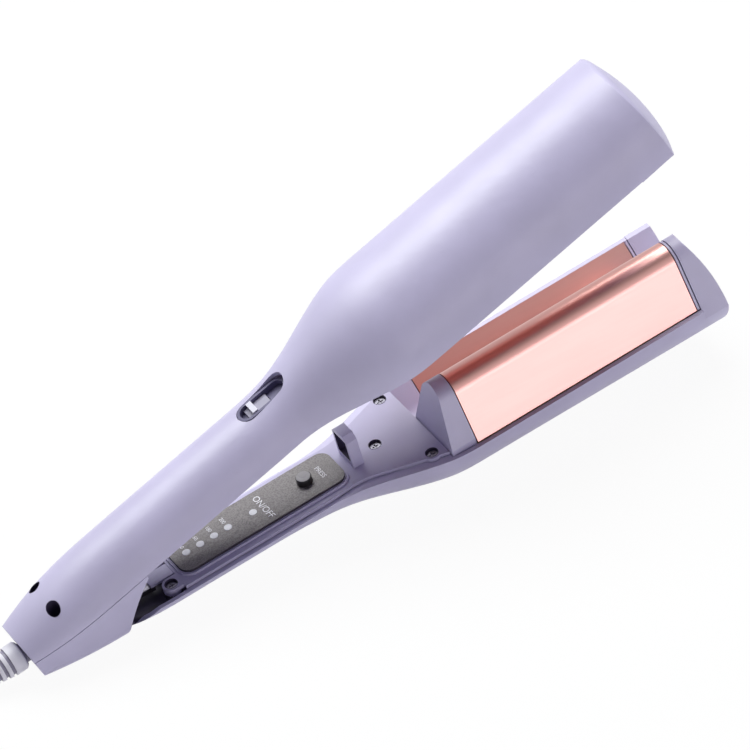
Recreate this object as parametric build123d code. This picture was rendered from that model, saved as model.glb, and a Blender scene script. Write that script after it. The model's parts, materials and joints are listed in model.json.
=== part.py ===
from build123d import *
import math
import os

# Hair waver: two arms on a hinge at the cord end, held open by a spring. Millimetres.
# Closed frame: X runs from the hinge axis to the tip, +Y is the user's left, Z is up, and the rim
# plane of the lower arm is Z = 0. The finished part is turned into the resting frame, where the
# origin is the centre of the flat face under the barrel and +Z points up from the table.

# ---- driving dimensions: arms -------------------------------------------------------------------
REAR_FACE_X = -11.0          # end of the rear housing, behind the hinge axis
TIP_DOME = 7.0               # crown of the upper end face
TIP_EDGE = 4.0               # its rounded edge, along the arm
OPEN_ANGLE = 15.6            # swing of the lower arm, degrees
RIM_GAP_REAR = 9.3           # gap between the two rims at the hinge, arms closed
RIM_GAP_TIP = 0.5            # the same at the tip
WALL = 2.0                   # casing wall
SEAM_GAP = 0.3               # gap between neighbouring mouldings
FIT_GAP = 0.05               # radial gap of a running fit

HANDLE_HALF_WIDTH = 16.5
HANDLE_HEIGHT = 17.5         # upper arm, above its rim
HANDLE_DEPTH = 8.0           # lower arm, below its rim
BARREL_HALF_WIDTH = 31.0
BARREL_HEIGHT = 33.0
BARREL_DEPTH = 23.0
BARREL_TIP_DEPTH = 24.6
SHOULDER_START_X = 118.0
SHOULDER_WIDE_X = SHOULDER_START_X + 12.0   # the rim starts to widen later than the crown rises
SHOULDER_END_X = 188.0
LOWER_SHOULDER_X = SHOULDER_START_X - 18.0   # the lower arm deepens earlier
STATION_PITCH = 12.0         # spacing of the sections that shape the casings

TAIL_X = 12.0                # rear end of the lower arm
TAIL_HALF_WIDTH = 13.4
TAIL_DEPTH = 5.4
TAIL_TAPER_X = 20.0
TAIL_TAPER_END_X = 44.0
TAIL_DROP_X = 32.0           # its side walls drop behind this

REAR_HALF_WIDTH = 12.5       # rear face of the housing
REAR_HEIGHT = 9.4            # above the rim
REAR_TAPER_END_X = 24.0
REAR_CROWN_END_X = 38.0      # the crown falls from here to the rear face
REAR_CORNER = 6.0            # round lower corner of the rear end
MOUTH_TOP_X = 43.0
MOUTH_BOTTOM_X = 25.0
MOUTH_TOP_Z = 19.0
MOUTH_SAG = 1.4              # of its edge behind a straight line
MOUTH_PLAY = 0.6             # round the lower arm, arms closed
BELLY_END_X = 46.0

# ---- driving dimensions: waved plates -----------------------------------------------------------
PLATE_REAR_X = SHOULDER_END_X + 2.4
PLATE_LENGTH = 108.4
PLATE_THICKNESS = 1.2
PLATE_GAP = 0.6              # between the two plates, arms closed
PLATE_SIDE_GAP = 0.5         # from the plate's long edges to the casing's inside
PLATE_EDGE_Y = BARREL_HALF_WIDTH - WALL - PLATE_SIDE_GAP
PLATE_EDGE_Z = 0.4
CREST_INSET = 16.0           # crest and trough, in from the plate's long edges
CREST_COVER = 6.5            # from the upper barrel's crown down to the crest
CREST_RADIUS = 8.0
TROUGH_COVER = 12.8          # from the trough down to the lower barrel's bottom at the tip
TROUGH_RADIUS = 9.0
CAP_PLAY = 0.6               # the lower nose swings behind the upper end's cap
NOSE_PROUD = 0.1             # noses and supports stand this much over the plates
TRIM_THICKNESS = 1.0
END_GAP = 0.5                # gap in front of and behind the plates
SUPPORT_LENGTH = 11.5
SUPPORT_BAND = 6.5
SUPPORT_SETBACK = 0.7        # of the support's sides from the plate's edges
LOWER_NOSE_LENGTH = 11.6
UPPER_NOSE_LENGTH = 16.2
NOSE_FRONT_RADIUS = 69.0     # of the lower nose, seen from the side
NOSE_FRONT_Z = -4.0          # height of its foremost line
NOSE_CORNER = 7.6            # between the nose and the barrel's underside
HEATER_WIDTH = 14.0
HEATER_THICKNESS = 3.0
HEATER_START = 5.0           # along the near flank from the plate's edge
HEATER_MARGIN = 6.0          # at each end of the plate
CLAMP_THICKNESS = 1.0
CONTACT_GAP = 0.1
INSULATOR_THICKNESS = 1.0

# ---- driving dimensions: hinge ------------------------------------------------------------------
PIN_RADIUS = 2.0
PIN_PROUD = 0.3              # of each ear's outer side
EAR_THICKNESS = 4.4
EAR_RADIUS = 3.6
KNUCKLE_RADIUS = 4.2
KNUCKLE_HALF_WIDTH = 2.6
TONGUE_END_X = 48.0
TONGUE_HEIGHT = 2.6
SPRING_WIRE = 1.0
SPRING_PITCH = 1.05
SPRING_TURNS = 2
HOUSING_SCREW_X = 8.9
HOUSING_SCREW_Y = 8.0
SCREW_WELL_RADIUS = 3.0
SCREW_HEAD_RADIUS = 2.4
SCREW_HEAD_HEIGHT = 1.4
SCREW_SHANK_RADIUS = 1.2

# ---- driving dimensions: deck and controls ------------------------------------------------------
DECK_TOP_Z = 1.6
DECK_THICKNESS = 1.6
DECK_START_X = 57.0
DECK_MARGIN = 2.3            # from the outer wall to the deck's edge along the handle
DECK_FLARE_MARGIN = 2.4      # more of it at the shoulder
PAD_LIFT = 1.2
PANEL_START_X = 59.4
PANEL_HOOK_GAP = 4.5         # from the panel's end to the hook
PANEL_HALF_WIDTH = 10.3
PANEL_THICKNESS = 1.2
PANEL_CORNER = 5.0
BUTTON_SETBACK = 15.4        # from the panel's hook end
BUTTON_RADIUS = 3.35
BUTTON_HEIGHT = 3.0          # over the panel
BUTTON_TRAVEL = 0.6
BUTTON_FLANGE_RADIUS = 4.2
POWER_LED_SETBACK = 40.6
TEMPERATURE_LED_SETBACK = 6.6   # from the panel's other end
TEMPERATURE_LED_PITCH = 6.75
TEMPERATURE_LED_COUNT = 4
LED_RADIUS = 1.7
BOARD_HALF_WIDTH = 8.0
BOARD_THICKNESS = 1.2
BOARD_TOP_Z = -2.2
SWITCH_SIZE = 6.0
DECK_SCREW_X = SHOULDER_END_X - 15.6
DECK_SCREW_INSET = 2.7       # from the deck's edge
MIDDLE_SCREW_X = SHOULDER_END_X - 30.7
APRON_LENGTH = 11.0          # tongue of the deck over the hinge's own tongue
APRON_HALF_WIDTH = 3.6
APRON_DROP = 0.4             # below the deck's top
TAIL_LUG_LENGTH = 8.0        # lugs behind the deck's rear edge carry its last screws
TAIL_SCREW_X = DECK_START_X - TAIL_LUG_LENGTH / 2
TAIL_SCREW_INSET = 5.56
DECK_SCREW_HOLE = 2.75
SCREW_SEAT_DEPTH = 2.6       # below the deck's top
SCREW_SEAT_THICKNESS = 0.8
SCREW_BOSS_RADIUS = 3.9

HOOK_X = 146.0
HOOK_THICKNESS = 5.0
HOOK_HALF_WIDTH = 6.0
HOOK_HEIGHT = 16.5
HOOK_WINDOW_HALF_WIDTH = 4.8
HOOK_WINDOW_BOTTOM = 3.0
HOOK_WINDOW_HEIGHT = 11.0
HOOK_CHAMFER = 2.5
HOOK_SLOT_MARGIN = 2.0       # round the hook, where it passes the upper arm's inner cover

# ---- driving dimensions: slide lock -------------------------------------------------------------
LOCK_X = HOOK_X - 18.5
LOCK_SLOT_LENGTH = 25.0
LOCK_SLOT_WIDTH = 10.0
LOCK_TRAVEL = 6.0
LOCK_SETBACK = 5.1           # of the open slider from the slot's middle
LOCK_PLATE_REAR = 3.4        # ends of the knob's plate, from the knob
LOCK_PLATE_FRONT = 7.6
LOCK_GUIDE_DEPTH = 4.2       # floor of the guide below the crown
LOCK_GUIDE_WALL = 1.2
LOCK_STEM_WIDTH = 3.0
LOCK_BOLT_THICKNESS = 2.0
LOCK_BOLT_PLAY = 0.6         # under the hook's top bar, arms closed
INNER_COVER_Z = 2.6          # above the upper rim
INNER_COVER_THICKNESS = 1.6
INNER_COVER_START_X = 52.0
INNER_COVER_END_GAP = 2.4    # before the upper support

# ---- driving dimensions: cord -------------------------------------------------------------------
BOOT_DROP = 3.6              # swivel centre below the upper rim, on the rear face
BOOT_TILT = 10.0             # swivel axis against the housing's own, degrees
BOOT_RADIUS = 6.4
BOOT_END_RADIUS = 3.7
BOOT_LENGTH = 25.0
BOOT_PLAIN_LENGTH = 6.0      # before the ribs
BOOT_TIP_LENGTH = 2.0        # after them
BOOT_RIB_COUNT = 5
BOOT_RIB_DEPTH = 0.9
BOOT_GROOVE_WIDTH = 1.5
BOOT_NECK_RADIUS = 4.4
BOOT_FLANGE_RADIUS = 5.8
BOOT_FLANGE_THICKNESS = 1.4
SOCKET_WALL = 1.6
SOCKET_LENGTH = 2.0
SOCKET_GAP = 1.5             # behind the rear wall, room for the tilt
CORD_RADIUS = 2.75
COIL_RADIUS = 32.5           # middle of the turns
COIL_BUNDLE = 16.5           # width and height of the bundle: three turns by three
COIL_CENTRE = (-280.0, 20.0)
COIL_CORNER = 4.0
TIE_WIDTH = 12.0
TIE_THICKNESS = 0.6
TIE_ANGLE = 215.0            # place of the tie round the coil
LEAD_RADIUS = 24.0           # turn of the lead from the top of the coil to the plug
PLUG_LENGTH = 34.0
PLUG_WIDTH = 30.0
PLUG_THICKNESS = 14.0
PLUG_NECK_LENGTH = 8.0
PLUG_NECK_RADIUS = 4.5
PLUG_PIN_RADIUS = 2.0
PLUG_PIN_LENGTH = 19.0
PLUG_PIN_SPACING = 19.0

# ---- driving dimensions: resting frame ----------------------------------------------------------
REST_X = 181.0               # centre of the flat face under the barrel
REST_CUT = 0.5               # depth of the flat cut into the casing
BELLY_REST_X = -6.5

# ---- places that follow -------------------------------------------------------------------------
PLATE_FRONT_X = PLATE_REAR_X + PLATE_LENGTH
TRIM_X = PLATE_FRONT_X + END_GAP
NOSE_X = TRIM_X + TRIM_THICKNESS + END_GAP
LOWER_TIP_X = NOSE_X + LOWER_NOSE_LENGTH     # lowest point of the lower nose
UPPER_TIP_X = NOSE_X + UPPER_NOSE_LENGTH     # rim corner of the upper barrel
SUPPORT_X = PLATE_REAR_X - END_GAP - SUPPORT_LENGTH
SUPPORT_END_X = PLATE_REAR_X - END_GAP
SUPPORT_HALF_WIDTH = PLATE_EDGE_Y - SUPPORT_SETBACK
CREST_Y = CREST_INSET - PLATE_EDGE_Y
CREST_Z = BARREL_HEIGHT - CREST_COVER
TROUGH_Y = PLATE_EDGE_Y - CREST_INSET
TROUGH_Z = TROUGH_COVER - BARREL_TIP_DEPTH
EAR_INNER_Y = KNUCKLE_HALF_WIDTH + SPRING_WIRE + SPRING_TURNS * SPRING_PITCH + 2 * SEAM_GAP
PIN_HALF_LENGTH = EAR_INNER_Y + EAR_THICKNESS + PIN_PROUD
PANEL_END_X = HOOK_X - HOOK_THICKNESS / 2 - PANEL_HOOK_GAP
BUTTON_X = PANEL_END_X - BUTTON_SETBACK
POWER_LED_X = PANEL_END_X - POWER_LED_SETBACK
TEMPERATURE_LED_X = PANEL_START_X + TEMPERATURE_LED_SETBACK
INNER_COVER_END_X = SUPPORT_X - INNER_COVER_END_GAP


# ---- shape rules --------------------------------------------------------------------------------
def ramp(x, start, end):
    """Smooth step from 0 at start to 1 at end."""
    t = min(1.0, max(0.0, (x - start) / (end - start)))
    return t * t * (3 - 2 * t)


def rear_fade(x, end):
    """1 at the rear face, falling smoothly to 0 at end."""
    t = max(0.0, (end - x) / (end - REAR_FACE_X))
    return t * t


def arm_half_width(x):
    return HANDLE_HALF_WIDTH + (BARREL_HALF_WIDTH - HANDLE_HALF_WIDTH) * ramp(x, SHOULDER_WIDE_X, SHOULDER_END_X)


def lower_half_width(x):
    return arm_half_width(x) - (HANDLE_HALF_WIDTH - TAIL_HALF_WIDTH) * (1 - ramp(x, TAIL_TAPER_X, TAIL_TAPER_END_X))


def lower_depth(x):
    depth = HANDLE_DEPTH + (BARREL_DEPTH - HANDLE_DEPTH) * ramp(x, LOWER_SHOULDER_X, SHOULDER_END_X)
    depth -= (HANDLE_DEPTH - TAIL_DEPTH) * (1 - ramp(x, TAIL_TAPER_X, TAIL_TAPER_END_X))
    return depth - (BARREL_DEPTH - BARREL_TIP_DEPTH) * ramp(x, SHOULDER_END_X, LOWER_TIP_X)


def upper_half_width(x):
    return arm_half_width(x) - (HANDLE_HALF_WIDTH - REAR_HALF_WIDTH) * rear_fade(x, REAR_TAPER_END_X)


def upper_height(x):
    height = HANDLE_HEIGHT + (BARREL_HEIGHT - HANDLE_HEIGHT) * ramp(x, SHOULDER_START_X, SHOULDER_END_X)
    return height - (HANDLE_HEIGHT - REAR_HEIGHT) * rear_fade(x, REAR_CROWN_END_X)


def rim_gap(x):
    """Height of the upper rim over the lower rim, arms closed."""
    return RIM_GAP_REAR + (RIM_GAP_TIP - RIM_GAP_REAR) * x / UPPER_TIP_X


def belly_depth(x):
    """Depth of the rear housing below its rim: its belly lines up with the lower arm when open."""
    swing = math.radians(OPEN_ANGLE)
    return rim_gap(x) + HANDLE_DEPTH / math.cos(swing) + x * math.tan(swing)


# ---- frames -------------------------------------------------------------------------------------
RIM_TILT = math.degrees(math.atan((RIM_GAP_REAR - RIM_GAP_TIP) / UPPER_TIP_X))
UPPER_RIM = Location((0, 0, RIM_GAP_REAR), (0, RIM_TILT, 0))        # upper rim frame to closed frame
SWING_OPEN = Location((0, 0, 0), (0, -OPEN_ANGLE, 0))               # closed frame to lower arm's frame
REST_DEPTH = lower_depth(REST_X) - REST_CUT
REST_PITCH = math.degrees(math.atan((REST_DEPTH - HANDLE_DEPTH) / (REST_X - BELLY_REST_X)))
REST = Location((0, 0, 0), (0, -REST_PITCH, 0)) * Location((-REST_X, 0, REST_DEPTH))
UPPER_PLACE = REST * SWING_OPEN                                     # closed frame to resting frame
LOWER_PLACE = REST


# ---- helpers ------------------------------------------------------------------------------------
def section_plane(x):
    """Plane across the arm: its own x is +Y and its own y is +Z."""
    return Plane(origin=(x, 0, 0), x_dir=(0, 1, 0), z_dir=(1, 0, 0))


SIDE_PLANE = Plane(origin=(0, 0, 0), x_dir=(1, 0, 0), z_dir=(0, -1, 0))   # its own y is +Z


def half_oval(x, half_width, height, start_angle):
    arc = EllipticalCenterArc((0, 0), half_width, height, start_angle=start_angle, arc_size=180)
    return section_plane(x) * make_face([arc, Line(arc @ 1, arc @ 0)])


def stations(start, end):
    count = max(3, round((end - start) / STATION_PITCH) + 1)
    return [start + i * (end - start) / (count - 1) for i in range(count)]


def upper_form(inset, start, end):
    """The upper casing's outside, or its inside at an inset, as a solid in the rim frame."""
    return loft([half_oval(x, upper_half_width(x) - inset, upper_height(x) - inset, 0) for x in stations(start, end)])


def lower_form(inset, start, end):
    return loft([half_oval(x, lower_half_width(x) - inset, lower_depth(x) - inset, 180) for x in stations(start, end)])


def belly_section(x, inset):
    """Straight flanks over an oval as deep as the lower arm's."""
    half_width = upper_half_width(x) - inset
    level = HANDLE_DEPTH - belly_depth(x)
    arc = EllipticalCenterArc((0, level), half_width, HANDLE_DEPTH - inset, start_angle=180, arc_size=180)
    left, right = (-half_width, 0), (half_width, 0)
    return section_plane(x) * make_face([Line(left, arc @ 0), arc, Line(arc @ 1, right), Line(right, left)])


def belly_form(inset, start, end):
    return loft([belly_section(x, inset) for x in stations(start, end)])


def box_between(low, high):
    size = [b - a for a, b in zip(low, high)]
    return Pos(*[(a + b) / 2 for a, b in zip(low, high)]) * Box(*size)


def behind(x):
    """All that lies behind a plane across the arm."""
    return box_between((-FIELD, -FIELD, -FIELD), (x, FIELD, FIELD))


def side_prism(points, half_width):
    """Prism across the arm from an outline in X and Z."""
    return extrude(SIDE_PLANE * make_face(Polyline(*points, close=True)), half_width, both=True)


def upright(x, y, radius, low, high):
    return Pos(x, y, (low + high) / 2) * Cylinder(radius, high - low)


def crosswise(x, z, radius, y_low, y_high):
    return Pos(x, (y_low + y_high) / 2, z) * Rot(90, 0, 0) * Cylinder(radius, y_high - y_low)


# ---- the wave -----------------------------------------------------------------------------------
CREST_CENTRE = Vector(CREST_Y, CREST_Z - CREST_RADIUS)
TROUGH_CENTRE = Vector(TROUGH_Y, TROUGH_Z + TROUGH_RADIUS)
NEAR_EDGE = Vector(-PLATE_EDGE_Y, PLATE_EDGE_Z)
FAR_EDGE = Vector(PLATE_EDGE_Y, PLATE_EDGE_Z)


def heading(vector):
    return math.atan2(vector.Y, vector.X)


TO_CREST = CREST_CENTRE - NEAR_EDGE
TO_TROUGH = TROUGH_CENTRE - CREST_CENTRE
TO_FAR_EDGE = FAR_EDGE - TROUGH_CENTRE
NEAR_SLOPE = heading(TO_CREST) + math.asin(CREST_RADIUS / TO_CREST.length)
MIDDLE_SLOPE = heading(TO_TROUGH) - math.asin((CREST_RADIUS + TROUGH_RADIUS) / TO_TROUGH.length)
FAR_SLOPE = heading(TO_FAR_EDGE) + math.asin(TROUGH_RADIUS / TO_FAR_EDGE.length)


def normal(slope):
    return Vector(-math.sin(slope), math.cos(slope))


UP = Vector(0, 1)


def wave_points(offset):
    """Points of the waved surface, moved along its normal: edge, arc, arc, edge."""
    crest_radius = CREST_RADIUS + offset
    trough_radius = TROUGH_RADIUS - offset
    return [
        NEAR_EDGE + normal(NEAR_SLOPE) * offset,
        CREST_CENTRE + normal(NEAR_SLOPE) * crest_radius,
        CREST_CENTRE + UP * crest_radius,
        CREST_CENTRE + normal(MIDDLE_SLOPE) * crest_radius,
        TROUGH_CENTRE - normal(MIDDLE_SLOPE) * trough_radius,
        TROUGH_CENTRE - UP * trough_radius,
        TROUGH_CENTRE - normal(FAR_SLOPE) * trough_radius,
        FAR_EDGE + normal(FAR_SLOPE) * offset,
    ]


def wave_edges(offset):
    p = wave_points(offset)
    return [
        Line(p[0], p[1]),
        ThreePointArc(p[1], p[2], p[3]),
        Line(p[3], p[4]),
        ThreePointArc(p[4], p[5], p[6]),
        Line(p[6], p[7]),
    ]


FIELD = 60.0                 # reach of the working solids beside the wave


def wave_side(offset, level, start, end):
    """All that lies between the wave and a level far above or below it."""
    p = wave_points(offset)
    near, far = p[0], p[7]
    rim = [
        Line(far, (FIELD, far.Y)),
        Line((FIELD, far.Y), (FIELD, level)),
        Line((FIELD, level), (-FIELD, level)),
        Line((-FIELD, level), (-FIELD, near.Y)),
        Line((-FIELD, near.Y), near),
    ]
    face = section_plane(start) * make_face(wave_edges(offset) + rim)
    return extrude(face, end - start, dir=(1, 0, 0))


def wave_sheet(low, high, start, end):
    """A plate of even thickness along the wave, its two long edges trimmed upright."""
    a, b = wave_points(low), wave_points(high)
    face = make_face(wave_edges(low) + [Line(a[7], b[7])] + wave_edges(high) + [Line(b[0], a[0])])
    sheet = extrude(section_plane(start) * face, end - start, dir=(1, 0, 0))
    return sheet & box_between((start, -PLATE_EDGE_Y, -FIELD), (end, PLATE_EDGE_Y, FIELD))


def flank_bar(edge, slope, side, start_along, width, low, high, start, end):
    """A bar lying on a straight flank: along it from its edge, and between two normal offsets."""
    along = Vector(math.cos(slope), math.sin(slope)) * side
    n = normal(slope)
    corners = [
        edge + along * start_along + n * low,
        edge + along * (start_along + width) + n * low,
        edge + along * (start_along + width) + n * high,
        edge + along * start_along + n * high,
    ]
    face = section_plane(start) * make_face(Polyline(*[(c.X, c.Y) for c in corners], close=True))
    return extrude(face, end - start, dir=(1, 0, 0))


parts = {}


# ---- lower arm: casing --------------------------------------------------------------------------
def lower_end_limit():
    """Everything behind the crowned front face of the lower arm, with its round lower corner."""
    r, tip, level = NOSE_FRONT_RADIUS, LOWER_TIP_X, NOSE_FRONT_Z

    def front(z):
        return (tip - r + math.sqrt(r * r - (z - level) ** 2), z)

    floor = -BARREL_TIP_DEPTH - CONTACT_GAP
    top, low = front(FIELD), front(floor + NOSE_CORNER)
    bend = (low[0] - 0.28 * NOSE_CORNER, floor + 0.28 * NOSE_CORNER)
    end = (low[0] - NOSE_CORNER, floor)
    outline = [
        Line((0, FIELD), top),
        ThreePointArc(top, front(level), low),
        ThreePointArc(low, bend, end),
        Line(end, (0, floor)),
        Line((0, floor), (0, FIELD)),
    ]
    return extrude(SIDE_PLANE * make_face(outline), FIELD, both=True)


def nose_shoulder():
    """What the near flank takes off the casing's rim where it runs on over the nose."""
    edge = wave_points(NOSE_PROUD)[0]
    out = BARREL_HALF_WIDTH + 1
    low = edge.Y - (edge.X + out) * math.tan(NEAR_SLOPE)
    face = make_face(Polyline((edge.X, edge.Y), (-out, low), (-out, CREST_Z), (edge.X, CREST_Z), close=True))
    return extrude(section_plane(NOSE_X) * face, LOWER_NOSE_LENGTH + 1, dir=(1, 0, 0))


def deck_half_width(x):
    flare = ramp(x, SHOULDER_WIDE_X, HOOK_X) * (1 - ramp(x, DECK_SCREW_X, SHOULDER_END_X))
    return lower_half_width(x) - DECK_MARGIN - DECK_FLARE_MARGIN * flare


def deck_outline(start, end, inset):
    """The deck's outline seen from above."""
    xs = stations(start, end)
    left = [(x, deck_half_width(x) - inset) for x in xs]
    right = [(x, -y) for x, y in reversed(left)]
    near, far = Spline(*right), Spline(*left)
    return make_face([far, Line(far @ 1, near @ 0), near, Line(near @ 1, far @ 0)])


def deck_screw_places():
    front_y = deck_half_width(DECK_SCREW_X) - DECK_SCREW_INSET
    tail_y = deck_half_width(TAIL_SCREW_X) - TAIL_SCREW_INSET
    return [
        (DECK_SCREW_X, front_y),
        (DECK_SCREW_X, -front_y),
        (MIDDLE_SCREW_X, 0),
        (TAIL_SCREW_X, tail_y),
        (TAIL_SCREW_X, -tail_y),
    ]


DECK_BOTTOM_Z = DECK_TOP_Z - DECK_THICKNESS
SCREW_SEAT_Z = DECK_TOP_Z - SCREW_SEAT_DEPTH
SCREW_SLEEVE_Z = SCREW_SEAT_Z - SCREW_SEAT_THICKNESS
POST_TOP_Z = SCREW_SLEEVE_Z - CONTACT_GAP
DECK_END_X = SUPPORT_X - SEAM_GAP


def mouth_limit():
    """Everything behind the curved mouth of the housing, in the closed frame."""
    bottom, top = Vector(MOUTH_BOTTOM_X, -HANDLE_DEPTH), Vector(MOUTH_TOP_X, MOUTH_TOP_Z)
    along = (top - bottom).normalized()
    bend = (bottom + top) / 2 + Vector(-along.Y, along.X) * MOUTH_SAG
    below, above = bottom - along * FIELD, top + along * FIELD
    outline = [
        Line(below, bottom),
        ThreePointArc(bottom, bend, top),
        Line(top, above),
        Line(above, (-FIELD, above.Y)),
        Line((-FIELD, above.Y), (-FIELD, below.Y)),
        Line((-FIELD, below.Y), below),
    ]
    return SWING_OPEN.inverse() * extrude(SIDE_PLANE * make_face(outline), FIELD, both=True)


def make_lower_shell():
    outer = lower_form(0, TAIL_X, LOWER_TIP_X)
    shell = outer - (lower_form(WALL, TAIL_X - WALL, LOWER_TIP_X) & behind(NOSE_X))
    # inward lip that carries the deck's edge along the shoulder
    lip = box_between((DECK_START_X, -FIELD, DECK_BOTTOM_Z - WALL), (DECK_END_X, FIELD, 0)) & outer
    lip -= extrude(Pos(0, 0, -FIELD) * deck_outline(DECK_START_X - 1, DECK_END_X + 1, -SEAM_GAP), 2 * FIELD)
    for x, y in deck_screw_places():
        lip -= upright(x, y, SCREW_BOSS_RADIUS + SEAM_GAP, -FIELD, FIELD)
    shell += lip
    # nose: the wave runs on over the front end
    crown = box_between((NOSE_X, -BARREL_HALF_WIDTH, 0), (LOWER_TIP_X, BARREL_HALF_WIDTH, FIELD))
    shell -= wave_side(NOSE_PROUD, FIELD, NOSE_X, LOWER_TIP_X + 1)
    shell += wave_side(NOSE_PROUD, -FIELD, NOSE_X, LOWER_TIP_X) & crown
    shell = (shell - nose_shoulder()) & lower_end_limit()
    # the tail's sides drop so that it can swing inside the housing
    drop = -TAIL_DEPTH + 1.6
    shell -= side_prism([(TAIL_X - 1, 1), (MOUTH_TOP_X, 1), (MOUTH_TOP_X, 0), (TAIL_DROP_X, drop), (TAIL_X - 1, drop)],
                        FIELD)
    # the housing's flanks pass outside the tail when the arms close
    inside = HANDLE_HALF_WIDTH - WALL - MOUTH_PLAY
    core = box_between((-FIELD, -inside, -FIELD), (2 * FIELD, inside, FIELD))
    shell -= Pos(MOUTH_PLAY, 0, 0) * mouth_limit() - core
    for x, y in deck_screw_places():
        shell += upright(x, y, SCREW_HEAD_RADIUS + 0.8, -FIELD, POST_TOP_Z) & outer
        shell -= upright(x, y, SCREW_SHANK_RADIUS, POST_TOP_Z - screw_reach(x, y), POST_TOP_Z + 1)
    return shell - floor_cutter()


def screw_reach(x, y):
    """Length of a deck screw in its post: it stops short of the casing's outside."""
    side = abs(y) / lower_half_width(x)
    floor = -lower_depth(x) * math.sqrt(1 - side * side)
    return min(8.0, POST_TOP_Z - floor - WALL / 2)


def floor_cutter():
    """What lies under the table, in the lower arm's frame: it leaves the flat resting face."""
    slab = Pos(0, 0, -FIELD / 2) * Box(4 * UPPER_TIP_X, 2 * FIELD, FIELD)
    return REST.inverse() * slab


# ---- lower arm: deck and what it carries --------------------------------------------------------
PAD_TOP_Z = DECK_TOP_Z + PAD_LIFT
PANEL_TOP_Z = PAD_TOP_Z + PANEL_THICKNESS
PANEL_CENTRE_X = (PANEL_START_X + PANEL_END_X) / 2


def panel_outline(grow):
    return Pos(PANEL_CENTRE_X, 0) * RectangleRounded(
        PANEL_END_X - PANEL_START_X + 2 * grow, 2 * (PANEL_HALF_WIDTH + grow), PANEL_CORNER + grow
    )


def temperature_led_places():
    return [TEMPERATURE_LED_X + i * TEMPERATURE_LED_PITCH for i in range(TEMPERATURE_LED_COUNT)]


def make_lower_deck():
    deck = extrude(Pos(0, 0, DECK_BOTTOM_Z) * deck_outline(DECK_START_X, DECK_END_X, 0), DECK_THICKNESS)
    for x, y in deck_screw_places()[-2:]:
        lug = SlotOverall(TAIL_LUG_LENGTH + 2 * SCREW_BOSS_RADIUS, 2 * SCREW_BOSS_RADIUS)
        deck += extrude(Pos(DECK_START_X, y, DECK_BOTTOM_Z) * lug, DECK_THICKNESS)
    apron = (DECK_START_X - APRON_LENGTH, -APRON_HALF_WIDTH, DECK_BOTTOM_Z)
    deck += box_between(apron, (DECK_START_X + 1, APRON_HALF_WIDTH, DECK_TOP_Z - APRON_DROP))
    deck += extrude(Pos(0, 0, DECK_TOP_Z) * panel_outline(1.2), PAD_LIFT)
    for x, y in deck_screw_places():
        deck += upright(x, y, SCREW_BOSS_RADIUS, SCREW_SLEEVE_Z, DECK_TOP_Z)
        deck -= upright(x, y, DECK_SCREW_HOLE, SCREW_SEAT_Z, DECK_TOP_Z + 1)
        deck -= upright(x, y, SCREW_SHANK_RADIUS + 0.4, SCREW_SLEEVE_Z - 1, SCREW_SEAT_Z + 1)
    deck = deck & (lower_form(WALL + SEAM_GAP, TAIL_SCREW_X - 2 * SCREW_BOSS_RADIUS, DECK_END_X + WALL)
                   + box_between((0, -FIELD, DECK_BOTTOM_Z), (DECK_END_X, FIELD, FIELD)))
    for x in temperature_led_places() + [POWER_LED_X]:
        deck -= upright(x, 0, LED_RADIUS + SEAM_GAP, DECK_BOTTOM_Z - 1, PAD_TOP_Z + 1)
    deck -= upright(BUTTON_X, 0, BUTTON_FLANGE_RADIUS + SEAM_GAP, DECK_BOTTOM_Z - 1, PAD_TOP_Z + 1)
    return deck


def make_control_panel():
    panel = extrude(Pos(0, 0, PAD_TOP_Z) * panel_outline(0), PANEL_THICKNESS)
    for x in temperature_led_places() + [POWER_LED_X]:
        panel -= upright(x, 0, LED_RADIUS + CONTACT_GAP, PAD_TOP_Z - 1, PANEL_TOP_Z + 1)
    return panel - upright(BUTTON_X, 0, BUTTON_RADIUS + CONTACT_GAP, PAD_TOP_Z - 1, PANEL_TOP_Z + 1)


LED_PROUD = 0.15


def light_pipe(x):
    return upright(x, 0, LED_RADIUS, BOARD_TOP_Z, PANEL_TOP_Z + LED_PROUD)


SWITCH_TOP_Z = BOARD_TOP_Z + 1.6
STEM_GAP = 0.1               # left under the stem when the button is pressed home


def make_power_button():
    cap = upright(BUTTON_X, 0, BUTTON_RADIUS, DECK_BOTTOM_Z, PANEL_TOP_Z + BUTTON_HEIGHT)
    cap = chamfer(cap.edges().group_by(Axis.Z)[-1], 0.4)
    flange_top = PAD_TOP_Z - CONTACT_GAP
    cap += upright(BUTTON_X, 0, BUTTON_FLANGE_RADIUS, flange_top - 1.0, flange_top)
    stem_end = SWITCH_TOP_Z + STEM_GAP + BUTTON_TRAVEL
    return cap + upright(BUTTON_X, 0, 1.2, stem_end, DECK_BOTTOM_Z + 0.5)


def make_circuit_board():
    low = (PANEL_START_X + 2, -BOARD_HALF_WIDTH, BOARD_TOP_Z - BOARD_THICKNESS)
    return box_between(low, (PANEL_END_X - 4, BOARD_HALF_WIDTH, BOARD_TOP_Z))


def make_tact_switch():
    half = SWITCH_SIZE / 2
    body = box_between((BUTTON_X - half, -half, BOARD_TOP_Z), (BUTTON_X + half, half, SWITCH_TOP_Z - 0.4))
    return body + upright(BUTTON_X, 0, 1.6, SWITCH_TOP_Z - 0.5, SWITCH_TOP_Z)


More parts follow.
